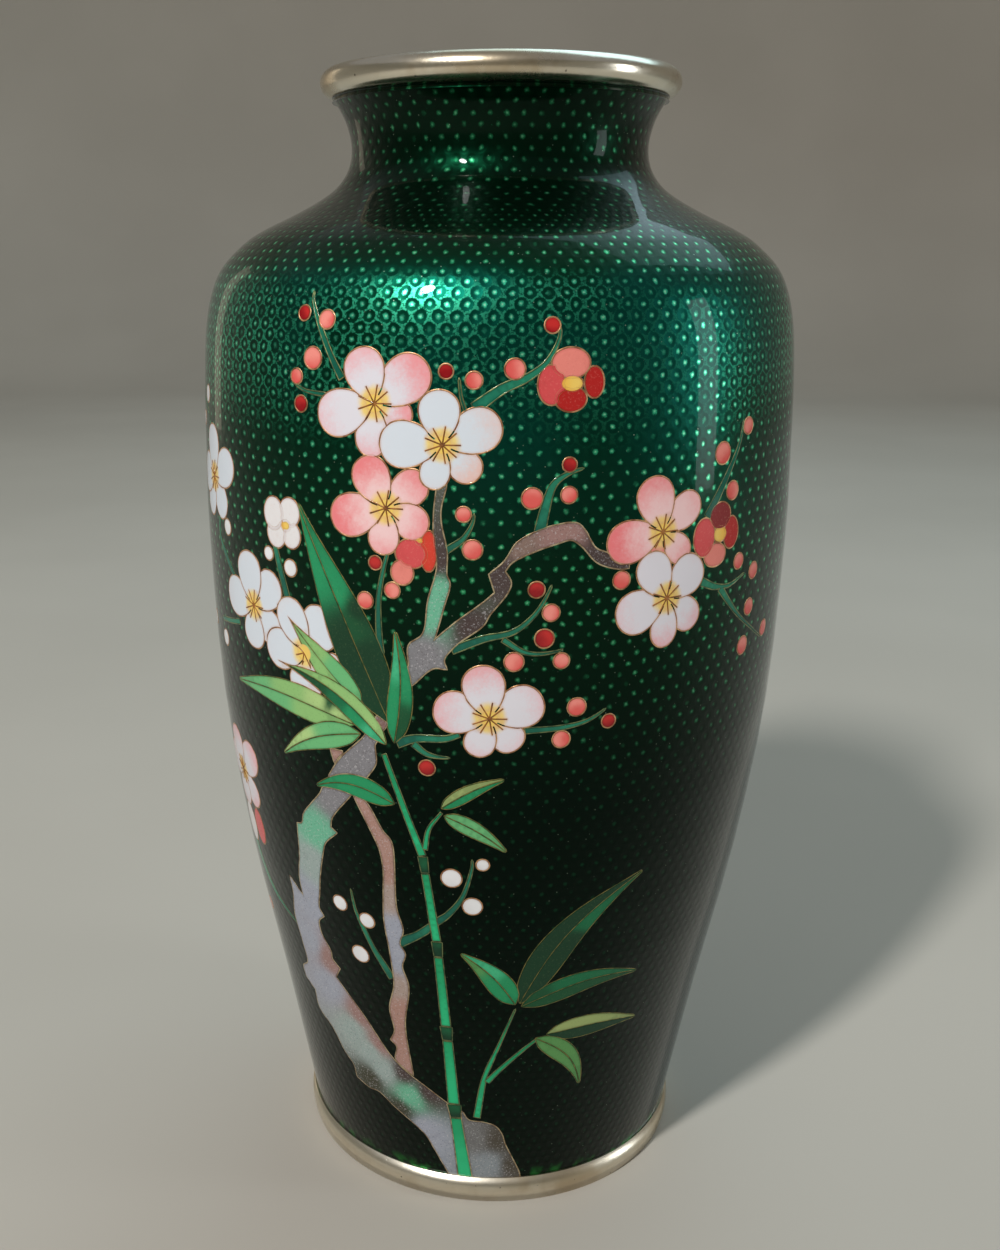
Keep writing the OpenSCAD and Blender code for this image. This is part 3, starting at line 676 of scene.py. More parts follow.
def groundLook():  # staggered dimples in the foil, seen through the green, with painted glints, painted sheen and painted shade
    look = Look("emeraldOverFoil", metallic=0.8, specular=0.0, coat=1.0, coatRoughness=0.02, coatIor=1.15)
    uv = look.add("ShaderNodeUVMap", {"uv_map": "wall"}, out="UV")
    across, up = look.split("ShaderNodeSeparateXYZ", uv, "X", "Y")
    stray = look.split("ShaderNodeSeparateColor", look.noise(5 * mm, 1.0, out="Color"), "Red", "Green")
    across = across + (stray[0] - 0.5) * foil["stray"]
    up = up + (stray[1] - 0.5) * foil["stray"]

    def toDimple(shift):  # how far off the dimples are of the even rows or of the odd ones
        x = (across / foil["pitch"] + shift).wrapped() * foil["pitch"]
        y = (up / (2 * foil["row"]) + shift).wrapped() * (2 * foil["row"])
        return (x * x + y * y) ** 0.5

    height = look.height()
    # upper: the painted glints and the lighter green grow up the wall, and painted shade darkens it lower
    # down
    upper = height.ramp(*foil["upper"]) * height.ramp(*foil["neck"]).between(1, 0.25)
    # the band of heights where the painted sheen lies
    shoulder = height.band(*foil["shoulder"])
    spread = look.noise(38 * mm, 1.0).ramp(0.38, 0.62)
    own = look.noise(2.4 * mm, 1.0).ramp(0.3, 0.65)  # how bright each dimple's painted glint is
    fleck = look.noise(0.5 * mm, 3.0, 0.75)
    reach = toDimple(0.0).least(toDimple(0.5)) / foil["cup"]
    ragged = reach + (fleck - 0.5) * 0.7
    # core: a painted glint in each dimple
    core = (1 - ragged.ramp(0.12, 0.55)) * own.between(0.15, 1)
    # painted highlight: a bright net between the dimples in a band round the shoulder
    highlightNet = height.band(*foil["highlightNet"]) * spread.between(1, 0.15)
    highlightWeb = ragged.ramp(0.95, 1.2) * fleck.ramp(0.36, 0.56) * highlightNet * 0.65
    grains = fleck.ramp(0.68, 0.8) * 0.4 * upper.between(0.3, 1)
    gleam = (core * upper.between(0.04, 0.96) + highlightWeb + grains).least(1.0)

    pooled = (1 - height.ramp(*foil["pool"])) * look.noise(3 * mm, 2.0).ramp(0.45, 0.7)
    # painted shade: the green is darker low on the wall and lighter high up
    deep = look.mix(upper, greens["low"], greens["high"])
    # painted sheen: the green turns teal over the shoulder
    deep = look.mix(shoulder * spread.between(0.2, 1) * 0.6, deep, greens["teal"])
    deep = look.mix(pooled, deep, greens["pool"])
    # painted sheen: the glints turn teal over the shoulder
    colour = look.mix(gleam, deep, look.mix(shoulder * 0.6, greens["lit"], greens["litTeal"]))
    # sparks: a painted glint at the middle of each upper dimple
    sparks = (1 - ragged.ramp(0.0, 0.25)) * own * upper * 0.8
    specks = look.dots(1.7 * mm, 0.03, 0.09) * fleck.ramp(0.35, 0.6) * upper.between(0.35, 0.65)
    colour = look.mix(sparks, colour, greens["spark"])
    look.set("colour", look.mix(specks, colour, greens["speck"]))
    look.set("roughness", gleam.between(0.36, 0.28))
    cup = (reach * reach).least(1.0)
    look.set("normal", look.bump(cup + fleck * 0.12, 1.0, foil["depth"] * mm))
    return look


petalShade = {  # reach and rim in millimetres from the heart and from the wire
    "cloud": 2.0 * mm, "grain": 0.6 * mm, "cloudShare": 0.4, "grainShare": 0.35,
    "pinkReach": 0.55, "tip": (0.25, 1.0), "faintest": 0.25,
    "heart": (2.3, 3.8), "heartShare": 0.95,
    "rim": (0.0, 0.45), "rimShare": 0.3, "rimTan": rgb(214, 160, 130),
}


def petalLook(name, heart, body, tip):  # pink says how far the tip's colour reaches in
    look, shade = glaze(name), petalShade
    reach, span, pink = (look.carried(k) for k in ("reach", "span", "pink"))
    cloud = look.noise(shade["cloud"], 3.0) - 0.5
    grain = look.noise(shade["grain"], 2.0, 0.7) - 0.5
    uneven = cloud * shade["cloudShare"] + grain * shade["grainShare"]
    toTip = (span + uneven + pink * shade["pinkReach"] - 0.5).ramp(*shade["tip"])
    colour = look.mix(toTip * pink.between(shade["faintest"], 1), body, tip)
    colour = look.mix((1 - (reach + cloud).ramp(*shade["heart"])) * shade["heartShare"], colour, heart)
    look.set("colour", rimmed(look, shade, colour, shade["rimTan"]))
    look.set("normal", look.bump(cloud, 0.04, 0.1 * mm))
    return look


cellShade = {
    "cloud": 2.5 * mm, "cloudShare": 0.6, "chanceShare": 0.6, "pit": 0.5 * mm,
    "rim": (0.0, 0.5), "rimShare": 0.3,
}


def cellLook(name, first, second, dark, speck=0.12):  # along the cell from its foot to its tip
    look, shade = glaze(name), cellShade
    along, chance = look.carried("along"), look.carried("chance")
    cloud = (look.noise(shade["cloud"], 3.0) - 0.5) * shade["cloudShare"]
    share = (along + cloud + (chance - 0.5) * shade["chanceShare"]).ramp(0.1, 0.9)
    colour = rimmed(look, shade, look.mix(share, first, second), dark)
    look.set("colour", look.mix(look.dots(shade["pit"], 0.05, 0.22) * speck, colour, dark))
    return look


paintShade = {
    "cloud": 3 * mm, "cloudShare": 0.16, "grain": 0.45 * mm, "pale": (0.54, 0.7), "dark": (0.3, 0.5),
    "pit": 0.6 * mm, "rim": (0.0, 0.5), "rimShare": 0.22,
}


def paintedLook(name, dark, speck, pale, paleSpeck):  # brushed colours with dark pits and pale grains
    look, shade = glaze(name), paintShade
    cloud = look.noise(shade["cloud"], 4.0, 0.6)
    grain = look.noise(shade["grain"], 3.0, 0.75)
    pits = look.dots(shade["pit"], 0.08, 0.3)
    colour = look.mix(cloud.ramp(0.5, 0.8) * shade["cloudShare"], look.carried("paint", "Color"), dark)
    colour = look.mix(grain.ramp(*shade["pale"]) * paleSpeck, colour, pale)
    colour = look.mix(pits * grain.ramp(*shade["dark"]) * speck, colour, dark)
    look.set("colour", rimmed(look, shade, colour, dark))
    look.set("normal", look.bump(grain - pits * 0.5, 0.06, 0.1 * mm))
    return look


def wireLook(name, bright, dull, metallic=0.7):
    look = Look(name, metallic=metallic, specular=0.3, coat=0.4, coatRoughness=0.1)
    worn = look.noise(1.5 * mm, 3.0)
    look.set("colour", look.mix(worn.ramp(0.35, 0.7), bright, dull))
    look.set("roughness", worn.between(0.35, 0.6))
    return look


silver = {
    "cloud": 16 * mm, "grain": 0.9 * mm, "pit": 2.4 * mm, "wear": 0.036,
    "footHigh": 6.2,  # in millimetres, as the look reads heights
    "bright": rgb(230, 222, 204), "tarnish": rgb(176, 152, 112), "black": rgb(70, 60, 48),
}


def silverLook(name, roughness, bulge=0.0):
    look = Look(name, metallic=1.0)
    cloud = look.noise(silver["cloud"], 4.0, 0.6)
    grain = look.noise(silver["grain"], 3.0, 0.65)
    pits = look.dots(silver["pit"], 0.05, 0.14)
    tarnish = cloud.ramp(0.42, 0.7)
    colour = look.mix(tarnish * 0.6, silver["bright"], silver["tarnish"])
    look.set("colour", look.mix(pits * grain.ramp(0.5, 0.6), colour, silver["black"]))
    look.set("roughness", roughness + tarnish * 0.08 + grain * 0.08)
    worn = (grain * 0.4 + cloud - pits * 0.5) * silver["wear"]
    if bulge:  # the band's face rolls over towards its edges
        rise = look.height() / (silver["footHigh"] / 2) - 1
        worn = worn - rise * rise * bulge
    look.set("normal", look.bump(worn, 1.0, mm))
    return look


def counterLook(name, first, second):  # the plain enamel of the inside and the base
    look = glaze(name)
    cloud = look.noise(8 * mm, 4.0, 0.6)
    grain = look.noise(0.8 * mm, 3.0, 0.7)
    share = (cloud.ramp(0.35, 0.65) + grain.ramp(0.6, 0.7) * 0.4).least(1.0)
    look.set("colour", look.mix(share, first, second))
    look.set("normal", look.bump(cloud + grain * 0.1, 0.15, 0.3 * mm))
    return look


def metalLook(name, bright, dull, roughness):
    look = Look(name, metallic=1.0)
    cloud = look.noise(10 * mm, 4.0)
    look.set("colour", look.mix(cloud.ramp(0.35, 0.65), bright, dull))
    look.set("roughness", roughness + cloud * 0.2)
    return look


gilt = wireLook("giltWire", rgb(214, 166, 120), rgb(150, 98, 62))
paleGilt = wireLook("paleGiltWire", rgb(206, 188, 150), rgb(140, 112, 84))
mossGilt = wireLook("mossGiltWire", rgb(132, 140, 92), rgb(70, 92, 62))
stamenGilt = wireLook("stamenGiltWire", rgb(168, 108, 44), rgb(112, 64, 26), 0.1)
leafGilt = wireLook("leafGiltWire", rgb(150, 138, 76), rgb(78, 92, 48))
print("looks: made")

ground = {"around": 180, "every": 3, "inner": 0.9 * mm, "neckFrom": 217 * mm, "neckRadius": 33.5 * mm}


def addGround():  # a closed shell between the foil and the surface, all the way up the wall
    runs, sides = wallRun[::ground["every"]], ground["around"]
    angle = np.linspace(-math.pi, math.pi, sides, endpoint=False)
    turn, run = (g.ravel() for g in np.meshgrid(angle, runs))
    outer, inner = onWall(turn, run, wall["skin"]), onWall(turn, run, ground["inner"])
    faces, total, top = [], len(turn), len(turn) - sides
    for start in range(0, top, sides):
        for i in range(sides):
            a, b = start + i, start + (i + 1) % sides
            faces.append((a, b, b + sides, a + sides))
            faces.append((b + total, a + total, a + sides + total, b + sides + total))
    for i in range(sides):
        j = (i + 1) % sides
        faces.append((i + total, j + total, j, i))
        faces.append((top + i, top + j, top + j + total, top + i + total))
    obj = newObject("groundEnamel", np.vstack([outer, inner]), faces)
    layFoil(obj.data, np.tile(turn, 2), np.tile(run, 2))
    return finishPiece(obj, groundLook(), "green_ground", "ground_enamel")


def layFoil(mesh, turn, run):  # the foil's own millimetres as UV: the neck is a sheet of its own
    layer, widest = mesh.uv_layers.new(name="wall"), wallRadius.max()
    for face in mesh.polygons:
        corners = [mesh.loops[i].vertex_index for i in face.loop_indices]
        turns = [turn[i] for i in corners]
        seam = max(turns) - min(turns) > math.pi
        wide = ground["neckRadius"] if face.center.z > ground["neckFrom"] else widest
        for loop, corner, t in zip(face.loop_indices, corners, turns):
            t = t + 2 * math.pi if seam and t < 0 else t
            layer.data[loop].uv = (t * wide / mm, run[corner] / mm)


addGround()
print("ground: made")

# The spray: everything that is laid into the ground

heartShape = {
    "apart": 3 * mm, "wallRadius": 60 * mm,  # pieces closer than this are one heart
    "reach": 4 * mm, "sides": 28,  # the disc that stands for them
    "known": 6 * mm,  # how near its image point a flower takes the blush listed for it
}


def heartCentres():  # (angle, run) of each flower's middle: the stamens cut its heart into pieces
    points, faces = nodeMesh("flower_hearts")
    link = list(range(len(points)))

    def root(i):
        while link[i] != i:
            link[i] = link[link[i]]
            i = link[i]
        return i
    for face in faces:
        for corner in face[1:]:
            link[root(int(corner))] = root(int(face[0]))
    pieces = {}
    for i in range(len(points)):
        pieces.setdefault(root(i), []).append(i)
    hearts = []
    for members in pieces.values():
        angle, run = toWall(points[members]).mean(0)
        near = [h for h in hearts if abs(h[0][0] - angle) * heartShape["wallRadius"] < heartShape["apart"]
                and abs(h[0][1] - run) < heartShape["apart"]]
        if near:
            near[0].append((angle, run))
        else:
            hearts.append([(angle, run)])
    return [np.mean(h, axis=0) for h in hearts]


centres = heartCentres()
print("flowers:", len(centres))

# How pink each petal is, by its direction from the heart in degrees: 0 is right and 90 is up
blush = {
    "flowerHighLeft": [(95, 0.6), (25, 0.85), (190, 0.4), (265, 0.55)],
    "flowerHighMiddle": [(95, 0.0), (20, 0.5), (318, 0.75), (262, 0.15), (178, 0.05)],
    "flowerPink": [(115, 0.9), (40, 0.8), (335, 0.7), (262, 0.55), (190, 0.95)],
    "flowerRight": [(100, 0.75), (35, 0.4), (195, 1.0), (320, 0.6)],
    "flowerRightLow": [(125, 0.0), (50, 0.05), (200, 0.3), (265, 0.55), (320, 0.5)],
    "flowerLow": [(100, 0.65), (10, 0.35), (180, 0.6), (245, 0.3), (300, 0.3)],
}
plainBlush = [(0, 0.08), (72, 0.02), (144, 0.1), (216, 0.05), (288, 0.0)]
leftBlush = [(60, 0.6), (0, 0.5), (270, 0.3), (180, 0.5)]
leftBlushBelow = 107 * mm  # on the left edge, the flower with its heart below this height is pink


def blushAt(home):  # the list for the flower whose heart lies nearest
    def gap(name):
        angle, run = seenOnWall(*imagePoints[name])
        return math.hypot((angle - home[0]) * wallRadius.max(), run - home[1])
    name = min(blush, key=gap)
    if gap(name) < heartShape["known"]:
        return blush[name]
    low = np.interp(home[1], wallRun, wallHeight) < leftBlushBelow
    return leftBlush if low else plainBlush


def carryPetal(cell, flat):
    middle = cell["flat"].mean(0)
    order, home = nearestHeart(middle, cell["radius"])
    reach = np.hypot(*(flat - home).T)
    span = reach / np.hypot(*(cell["flat"] - home).T).max()
    turn = math.degrees(math.atan2(*(middle - home)[::-1]))
    pink = min(blushAt(centres[order]), key=lambda b: abs((b[0] - turn + 180) % 360 - 180))[1]
    return {"reach": reach / mm, "span": span, "pink": np.full(len(flat), pink)}


def carryAlong(cell, flat):
    ring = cell["flat"]
    way = np.linalg.svd(ring - ring.mean(0), full_matrices=False)[2][0]
    way = way if way[1] > 0 else -way
    low, high = (ring @ way).min(), (ring @ way).max()
    return {"along": (flat @ way - low) / (high - low)}


heartYellow = rgb(250, 212, 108)
petalColours = {  # at the heart, in the middle and at the tip
    "white": (rgb(251, 218, 122), rgb(226, 233, 242), rgb(244, 190, 172)),
    "blush": (rgb(251, 216, 118), rgb(235, 231, 239), rgb(250, 148, 152)),
    "pink": (rgb(251, 212, 116), rgb(253, 212, 212), rgb(246, 130, 134)),
}
for name, colours in petalColours.items():
    petalGlaze = petalLook(name + "PetalGlaze", *colours)
    addInlay(name + "Petals", name + "_petals", petalGlaze, name + "_enamel", carryPetal)


def heartRings():  # the hearts as whole discs: the stamens are laid over them
    places = toWall(nodeMesh("flower_hearts")[0])
    cells["flower_hearts"] = []
    for angle, run in centres:
        radius = np.interp(run, wallRun, wallRadius)
        gap = np.hypot((places[:, 0] - angle) * radius, places[:, 1] - run)
        size = gap[gap < heartShape["reach"]].max()
        turn = np.linspace(0, 2 * math.pi, heartShape["sides"], endpoint=False)
        flat = np.c_[angle * radius + size * np.cos(turn), run + size * np.sin(turn)]
        cells["flower_hearts"].append({"flat": flat, "radius": radius})


heartRings()
heartGold = petalLook("heartGlaze", heartYellow, heartYellow, heartYellow)
addInlay("flowerHearts", "flower_hearts", heartGold, "yellow_enamel", carryPetal)

# Wires finer than those round the petals: top is how deep the upper side lies, below 0 where it stands out
fineWires = {
    "stamens": {"radius": 0.17 * mm, "top": -0.09 * mm},
    "twigs": {"radius": 0.2 * mm, "top": 0.01 * mm},
    "leaves": {"radius": 0.16 * mm, "top": 0.02 * mm},
}
stamen = {"shortest": 1.2 * mm, "from": 0.02, "points": 10}


def stamenPaths():
    paths = []
    for loop in outerLoops("stamen_wires"):
        flat, radius = chart(loop)
        middle = flat.mean(0)
        way = np.linalg.svd(flat - middle, full_matrices=False)[2][0]
        reach = (flat - middle) @ way
        if np.ptp(reach) < stamen["shortest"]:
            continue
        ends = [middle + way * r for r in (reach.min(), reach.max())]
        home = nearestHeart(middle, radius)[1]
        far = max(ends, key=lambda e: np.hypot(*(e - home)))
        shares = np.linspace(stamen["from"], 1, stamen["points"])[:, None]
        paths.append((home + shares * (far - home), radius, False))
    return paths


petalNodes = ["white_petals", "blush_petals", "pink_petals"]
addWires("petalWires", petalPaths(petalNodes), gilt, "gilt_wire", "petal_wires")
addWires("stamenWires", stamenPaths(), stamenGilt, "gilt_wire", "stamen_wires", **fineWires["stamens"])
print("flowers: made")

brush = {"softness": 0.6 * mm, "fall": 4.5, "spare": 2}  # spare: how many places a cell without any borrows


def carryPaint(paint):  # each point takes the colours brushed nearest to it in its cell
    spots = [(math.radians(angle), height * mm, rgb(*colour)) for colour, *places in paint.values()
             for angle, height in places]
    angles = np.array([a for a, _, _ in spots])
    runs = np.interp([h for _, h, _ in spots], wallHeight, wallRun)
    colours = np.array([c for _, _, c in spots])

    def carry(cell, flat):
        places = np.stack([angles * cell["radius"], runs], axis=1)
        own = inside(places, cell["flat"])
        if not own.any():
            own = np.hypot(*(places - cell["flat"].mean(0)).T).argsort() < brush["spare"]
        gap = np.hypot(flat[:, :1] - places[own, 0], flat[:, 1:] - places[own, 1])
        share = (gap / brush["softness"] + 1) ** -brush["fall"]
        return {"paint": share @ colours[own] / share.sum(1)[:, None]}
    return carry


openingGlaze = paintedLook("openingGlaze", rgb(150, 40, 30), 0.1, rgb(255, 200, 180), 0.12)

# Colours brushed onto the half-open flowers, the bark and the leaves: each has its screen colour and then
# the places where it lies, as an angle in degrees and a height in millimetres
openingPaint = {
    "salmon": [(242, 140, 128), (9.5, 189.5), (11, 190.5), (38, 152.5), (-17.5, 151)],
    "rose": [(222, 84, 86), (7, 185.5), (-16, 155.5), (-62, 88.5), (36, 155)],
    "scarlet": [(222, 66, 48), (-13.5, 156), (-14, 152.5), (-60, 85.5)],
    "crimson": [(186, 38, 36), (13.5, 186), (9.5, 183), (42.5, 155.5)],
    "wine": [(138, 32, 36), (40, 159)],
    "white": [(240, 236, 236), (-43.5, 159), (-41.5, 161), (-40, 157.5), (-41.5, 155.5)],
}
openingGap = 0.3 * mm
openingNodes = ["red_opening_petals", "white_opening_petals", "opening_hearts"]
for node in openingNodes:
    grow(node, openingGap)
for name, slot in (("red", "coral_enamel"), ("white", "white_enamel")):
    addInlay(name + "OpeningPetals", name + "_opening_petals", openingGlaze, slot, carryPaint(openingPaint))
openingGold = cellLook("openingHeartGlaze", heartYellow, rgb(250, 196, 84), rgb(200, 120, 50), 0.05)
addInlay("openingHearts", "opening_hearts", openingGold, "yellow_enamel", carryAlong)
addWires("openingWires", roundCells(openingNodes), gilt, "gilt_wire", "opening_wires")

budColours = {  # at the foot, at the tip and in the pits, and how strong the pits are
    "red": (rgb(150, 22, 28), rgb(200, 48, 46), rgb(90, 12, 16), 0.12),
    "coral": (rgb(232, 98, 92), rgb(250, 150, 138), rgb(190, 60, 50), 0.12),
    "white": (rgb(236, 236, 238), rgb(246, 246, 248), rgb(200, 180, 170), 0.04),
}
for name, colours in budColours.items():
    budGlaze = cellLook(name + "BudGlaze", *colours)
    addInlay(name + "Buds", name + "_buds", budGlaze, name + "_enamel", carryAlong)
addWires("budWires", roundCells(["red_buds", "coral_buds", "white_buds"]), gilt, "gilt_wire", "bud_wires")
print("buds: made")

barkPaint = {
    "lilac": [(166, 170, 184), (-16.5, 10), (-44.5, 51.5), (-48, 62), (-45, 73.5), (-20, 18)],
    "mist": [(160, 176, 172), (-30.5, 33), (-38.5, 41.5), (-41, 85), (-34, 37)],
    "jade": [(112, 188, 154), (-23.5, 27.5), (-39, 92), (-12.5, 144), (-12, 148)],
    "ash": [(134, 132, 136), (-33, 102), (-29, 110.5), (-14, 136), (-10.5, 163)],
    "tan": [(138, 114, 104), (1.5, 157.5), (-6.5, 146)],
    "rose": [(160, 124, 118), (8, 159), (-42, 59.5), (-39, 53.5), (-35, 47), (-30.5, 40.5)],
    "umber": [(76, 62, 60), (-11.5, 154.5), (-1.5, 152), (15, 154), (-6.5, 142), (-24.5, 34), (-18, 30),
              (-11.5, 25.5), (-45.5, 89), (-50, 79.5)],
    "moss": [(62, 62, 46), (-56, 46), (-52, 39.5), (-44, 33.5), (-35.5, 28.5), (-27, 22.5), (-20.5, 13.5)],
}
sidePaint = {
    "rose": [(178, 138, 126), (-25.5, 99), (-23.5, 88), (-23, 52), (-23.5, 40.5)],
    "sand": [(176, 156, 146), (-22.5, 81), (-23.5, 58)],
    "lilac": [(166, 170, 184), (-22.5, 73.5), (-22, 65.5)],
}
rootPaint = {
    "umber": [(82, 76, 66), (-4.5, 23.5), (1, 17.5), (4.5, 10)],
    "lilac": [(146, 154, 160), (-2, 10)],
    "ash": [(120, 120, 120), (-7, 18)],
}
leafPaint = {
    "lime": [(184, 217, 140), (-35, 123.5), (-31.5, 121.5), (-40.5, 113.5)],
    "pale": [(150, 200, 122), (-37.5, 120.5), (-35, 134), (-40, 110.5), (-42, 125)],
    "soft": [(112, 192, 126), (-53.5, 123), (-46.5, 121), (-33, 117.5), (-30, 115.5), (-31, 130.5),
             (-4.5, 98.5), (-9, 101.5), (-6.5, 99)],
    "jade": [(70, 192, 138), (-23.5, 118), (-19.5, 134.5), (-19, 139), (-2.5, 65.5)],
    "green": [(34, 152, 98), (-34.5, 154), (-37, 159), (-30.5, 146), (-20.5, 126), (-17.5, 130.5),
              (-27.5, 122), (-36.5, 105), (-30.5, 106.5), (-25, 106.5), (-23.5, 104.5), (2, 61.5), (0, 60.5),
              (-29.5, 104)],
    "teal": [(16, 112, 70), (22.5, 82.5), (17, 77), (22.5, 61.5), (15.5, 60.5), (-30.5, 124.5), (30.5, 60.5),
             (28, 85.5)],
    "deep": [(18, 82, 48), (-27.5, 140), (-35.5, 126.5), (-18.3, 121), (-32.5, 123), (7.5, 58), (13.5, 58),
             (1, 95)],
    "dark": [(12, 58, 34), (-28.5, 150), (-26, 143.5), (-24.5, 134), (-23, 127.5), (-27, 135), (12, 69.5),
             (21.5, 79), (15.5, 72), (8.5, 62.5), (5.5, 59)],
    "yellow": [(164, 182, 114), (0.5, 111), (-4.5, 109), (-10, 106), (-39.5, 137.5), (36, 45.5), (27.5, 48.5),
               (21.5, 32.5), (14.5, 48), (19.5, 48.5)],
    "moss": [(96, 156, 88), (-6.5, 106), (-7.5, 68.5), (18, 39), (13.5, 44), (11, 46), (-45.5, 108.5)],
}

barkGlaze = paintedLook("barkGlaze", rgb(58, 46, 46), 0.5, rgb(214, 210, 212), 0.6)
leafGlaze = paintedLook("leafGlaze", rgb(8, 60, 34), 0.2, rgb(190, 225, 150), 0.05)
addInlay("trunkBark", "trunk", barkGlaze, "bark_lilac", carryPaint(barkPaint))
addInlay("trunkRoot", "trunk_root", barkGlaze, "bark_brown", carryPaint(rootPaint))
addInlay("sideBranch", "side_branch", barkGlaze, "bark_mauve", carryPaint(sidePaint))
barkNodes = ["trunk", "trunk_root", "side_branch"]
addWires("trunkWires", roundCells(barkNodes), paleGilt, "gilt_wire", "trunk_wires")
twigGlaze = cellLook("twigGlaze", rgb(22, 104, 84), rgb(46, 146, 112), rgb(10, 60, 46))
addInlay("tealTwigs", "twigs", twigGlaze, "twig_teal", carryAlong)
addWires("twigWires", roundCells(["twigs"]), mossGilt, "gilt_wire", "twig_wires", **fineWires["twigs"])
print("branches: made")

stalkGlaze = cellLook("stalkGlaze", rgb(44, 198, 134), rgb(30, 168, 110), rgb(14, 92, 60))
jointGlaze = cellLook("jointGlaze", rgb(10, 60, 38), rgb(20, 96, 60), rgb(6, 36, 24))
addInlay("bambooStalk", "bamboo_stalk", stalkGlaze, "bamboo_green", carryAlong)
addInlay("bambooJoints", "bamboo_joints", jointGlaze, "bamboo_dark", carryAlong)
addWires("bambooWires", roundCells(["bamboo_stalk", "bamboo_joints"]), mossGilt, "gilt_wire", "bamboo_wires",
         **fineWires["twigs"])
leafNodes = {"pale_leaves": ("paleLeaves", "leaf_pale"), "green_leaves": ("greenLeaves", "leaf_green"),
             "dark_leaves": ("darkLeaves", "leaf_dark")}
for node, (piece, slot) in leafNodes.items():
    addInlay(piece, node, leafGlaze, slot, carryPaint(leafPaint))
addWires("leafWires", roundCells(leafNodes), leafGilt, "gilt_wire", "leaf_wires", **fineWires["leaves"])
print("bamboo: made")


def dress(node, look):
    nodes[node].data.materials.clear()
    nodes[node].data.materials.append(look.material)


dress("rim_ring", silverLook("wornSilverRim", 0.18))
dress("foot_ring", silverLook("wornSilverFoot", 0.26, 1.1))
dress("inner_counter_enamel", counterLook("insideEnamel", rgb(14, 74, 66), rgb(40, 120, 104)))
dress("base_counter_enamel", counterLook("baseEnamel", rgb(14, 74, 66), rgb(44, 128, 110)))
dress("copper_body", metalLook("copperSheet", rgb(200, 126, 88), rgb(140, 78, 52), 0.35))
dress("silver_foil", metalLook("silverFoil", rgb(214, 216, 214), rgb(176, 178, 172), 0.2))
print("metal: finished")

# The floor, the light and where the image points fall

room = {
    "flat": 1.7, "sweep": 0.5, "tall": 1.7, "around": 96, "turns": 12,  # the floor
    "mottle": 1 / 3, "grey": 0.8, "power": 0.3,  # its unevenness and the light all round
}


def addFloor():  # a round floor that sweeps up into its wall
    line = [(room["flat"], 0.0)]
    for turn in np.radians(np.linspace(0, 90, room["turns"])[1:]):
        line.append((room["flat"] + room["sweep"] * math.sin(turn), room["sweep"] * (1 - math.cos(turn))))
    line.append((room["flat"] + room["sweep"], room["tall"]))
    around = np.linspace(0, 2 * math.pi, room["around"], endpoint=False)
    points = [(0, 0, 0)] + [(r * math.cos(t), r * math.sin(t), z) for r, z in line for t in around]
    sides = room["around"]
    faces = [(0, 1 + i, 1 + (i + 1) % sides) for i in range(sides)]
    for k in range(len(line) - 1):
        for i in range(sides):
            first, second = 1 + k * sides + i, 1 + k * sides + (i + 1) % sides
            faces.append((first, first + sides, second + sides, second))
    obj = newObject("paleFloor", points, faces)
    look = Look("palePaper", roughness=0.8, specular=0.2)
    mottle = look.noise(room["mottle"], 3.0).ramp(0.3, 0.7)
    look.set("colour", look.mix(mottle, rgb(190, 184, 173), rgb(183, 177, 166)))
    obj.data.materials.append(look.material)


addFloor()

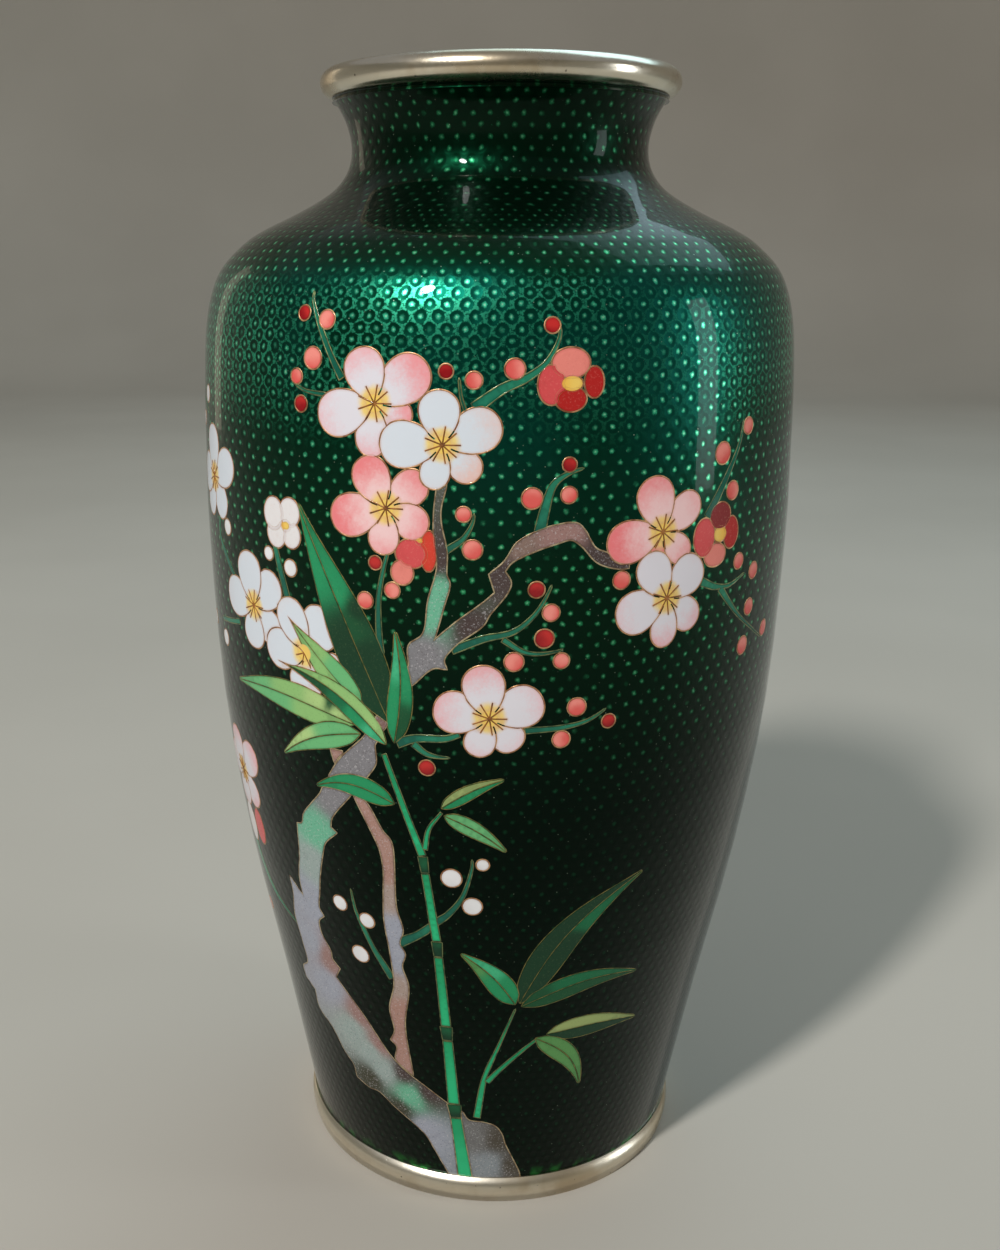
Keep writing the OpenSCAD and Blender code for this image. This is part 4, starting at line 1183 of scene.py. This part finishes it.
lamps = {
    "highFront": {"shape": "ELLIPSE", "place": (-0.63, -0.95, 1.25), "size": (0.12, 0.26), "power": 19,
                  "tint": (1, 1, 1)},
    "edgeLeft": {"shape": "RECTANGLE", "place": (-1.0, 1.0, 0.3), "size": (0.2, 1.0), "power": 0.5,
                 "tint": (1, 0.86, 0.66)},
    "windowRight": {"shape": "RECTANGLE", "place": (1.15, -0.22, 0.32), "size": (0.2, 0.7), "power": 2.7,
                    "tint": (0.9, 0.95, 1)},
    "overhead": {"shape": "RECTANGLE", "place": (0.45, 0.75, 1.3), "size": (1.4, 0.9), "power": 6.5,
                 "tint": (0.6, 0.88, 1)},
}
aim = Vector((0, 0, 0.13))  # about the middle of the vase
for name, lamp in lamps.items():
    data = bpy.data.lights.new(name, "AREA")
    data.shape = lamp["shape"]
    data.size, data.size_y = lamp["size"]
    data.energy = lamp["power"]
    data.color = lamp["tint"]
    obj = bpy.data.objects.new(name, data)
    obj.location = lamp["place"]
    obj.rotation_euler = (Vector(lamp["place"]) - aim).to_track_quat("Z", "Y").to_euler()
    scene.collection.objects.link(obj)

world = bpy.data.worlds.new("softRoom")
world.use_nodes = True
background = world.node_tree.nodes["Background"]
background.inputs["Color"].default_value = (room["grey"],) * 3 + (1,)
background.inputs["Strength"].default_value = room["power"]
scene.world = world
scene.view_settings.view_transform = "Standard"
print("room: made")


def flowerSpot(x, y):  # the middle of the flower that shows nearest a place of the photograph
    spots = photoPlace([onWall(*c) for c in centres])
    return spots[np.hypot(*(spots - (x, y)).T).argmin()]


def shownPoints():
    out = []
    for obj in scene.objects:
        if obj.type == "MESH" and obj.name != "paleFloor" and not obj.name.startswith("silver_foil"):
            co = np.zeros(len(obj.data.vertices) * 3)
            obj.data.vertices.foreach_get("co", co)
            out.append(co.reshape(-1, 3))
    return photoPlace(np.vstack(out))


def writePoints():
    shown = shownPoints()
    left, right = shown[:, 0].min(), shown[:, 0].max()
    top, bottom = shown[:, 1].min(), shown[:, 1].max()

    def sideAt(x, y):
        row = shown[np.abs(shown[:, 1] - y) < photo["rowHalf"]]
        return row[:, 0].min() if x < photo["width"] / 2 else row[:, 0].max()

    def off(found, wanted):
        return round(float(found - wanted), 1)
    report = {}
    for name, (x, y) in imagePoints.items():
        if name.startswith("flower"):
            spot = flowerSpot(x, y)
            report[name] = [off(spot[0], x), off(spot[1], y)]
        elif name in ("vaseTop", "vaseBottom"):
            report[name] = [0.0, off(top if name == "vaseTop" else bottom, y)]
        elif name in ("vaseLeft", "vaseRight"):
            report[name] = [off(left if name == "vaseLeft" else right, x), 0.0]
        else:
            report[name] = [off(sideAt(x, y), x), 0.0]
    return report


print("points:", writePoints())
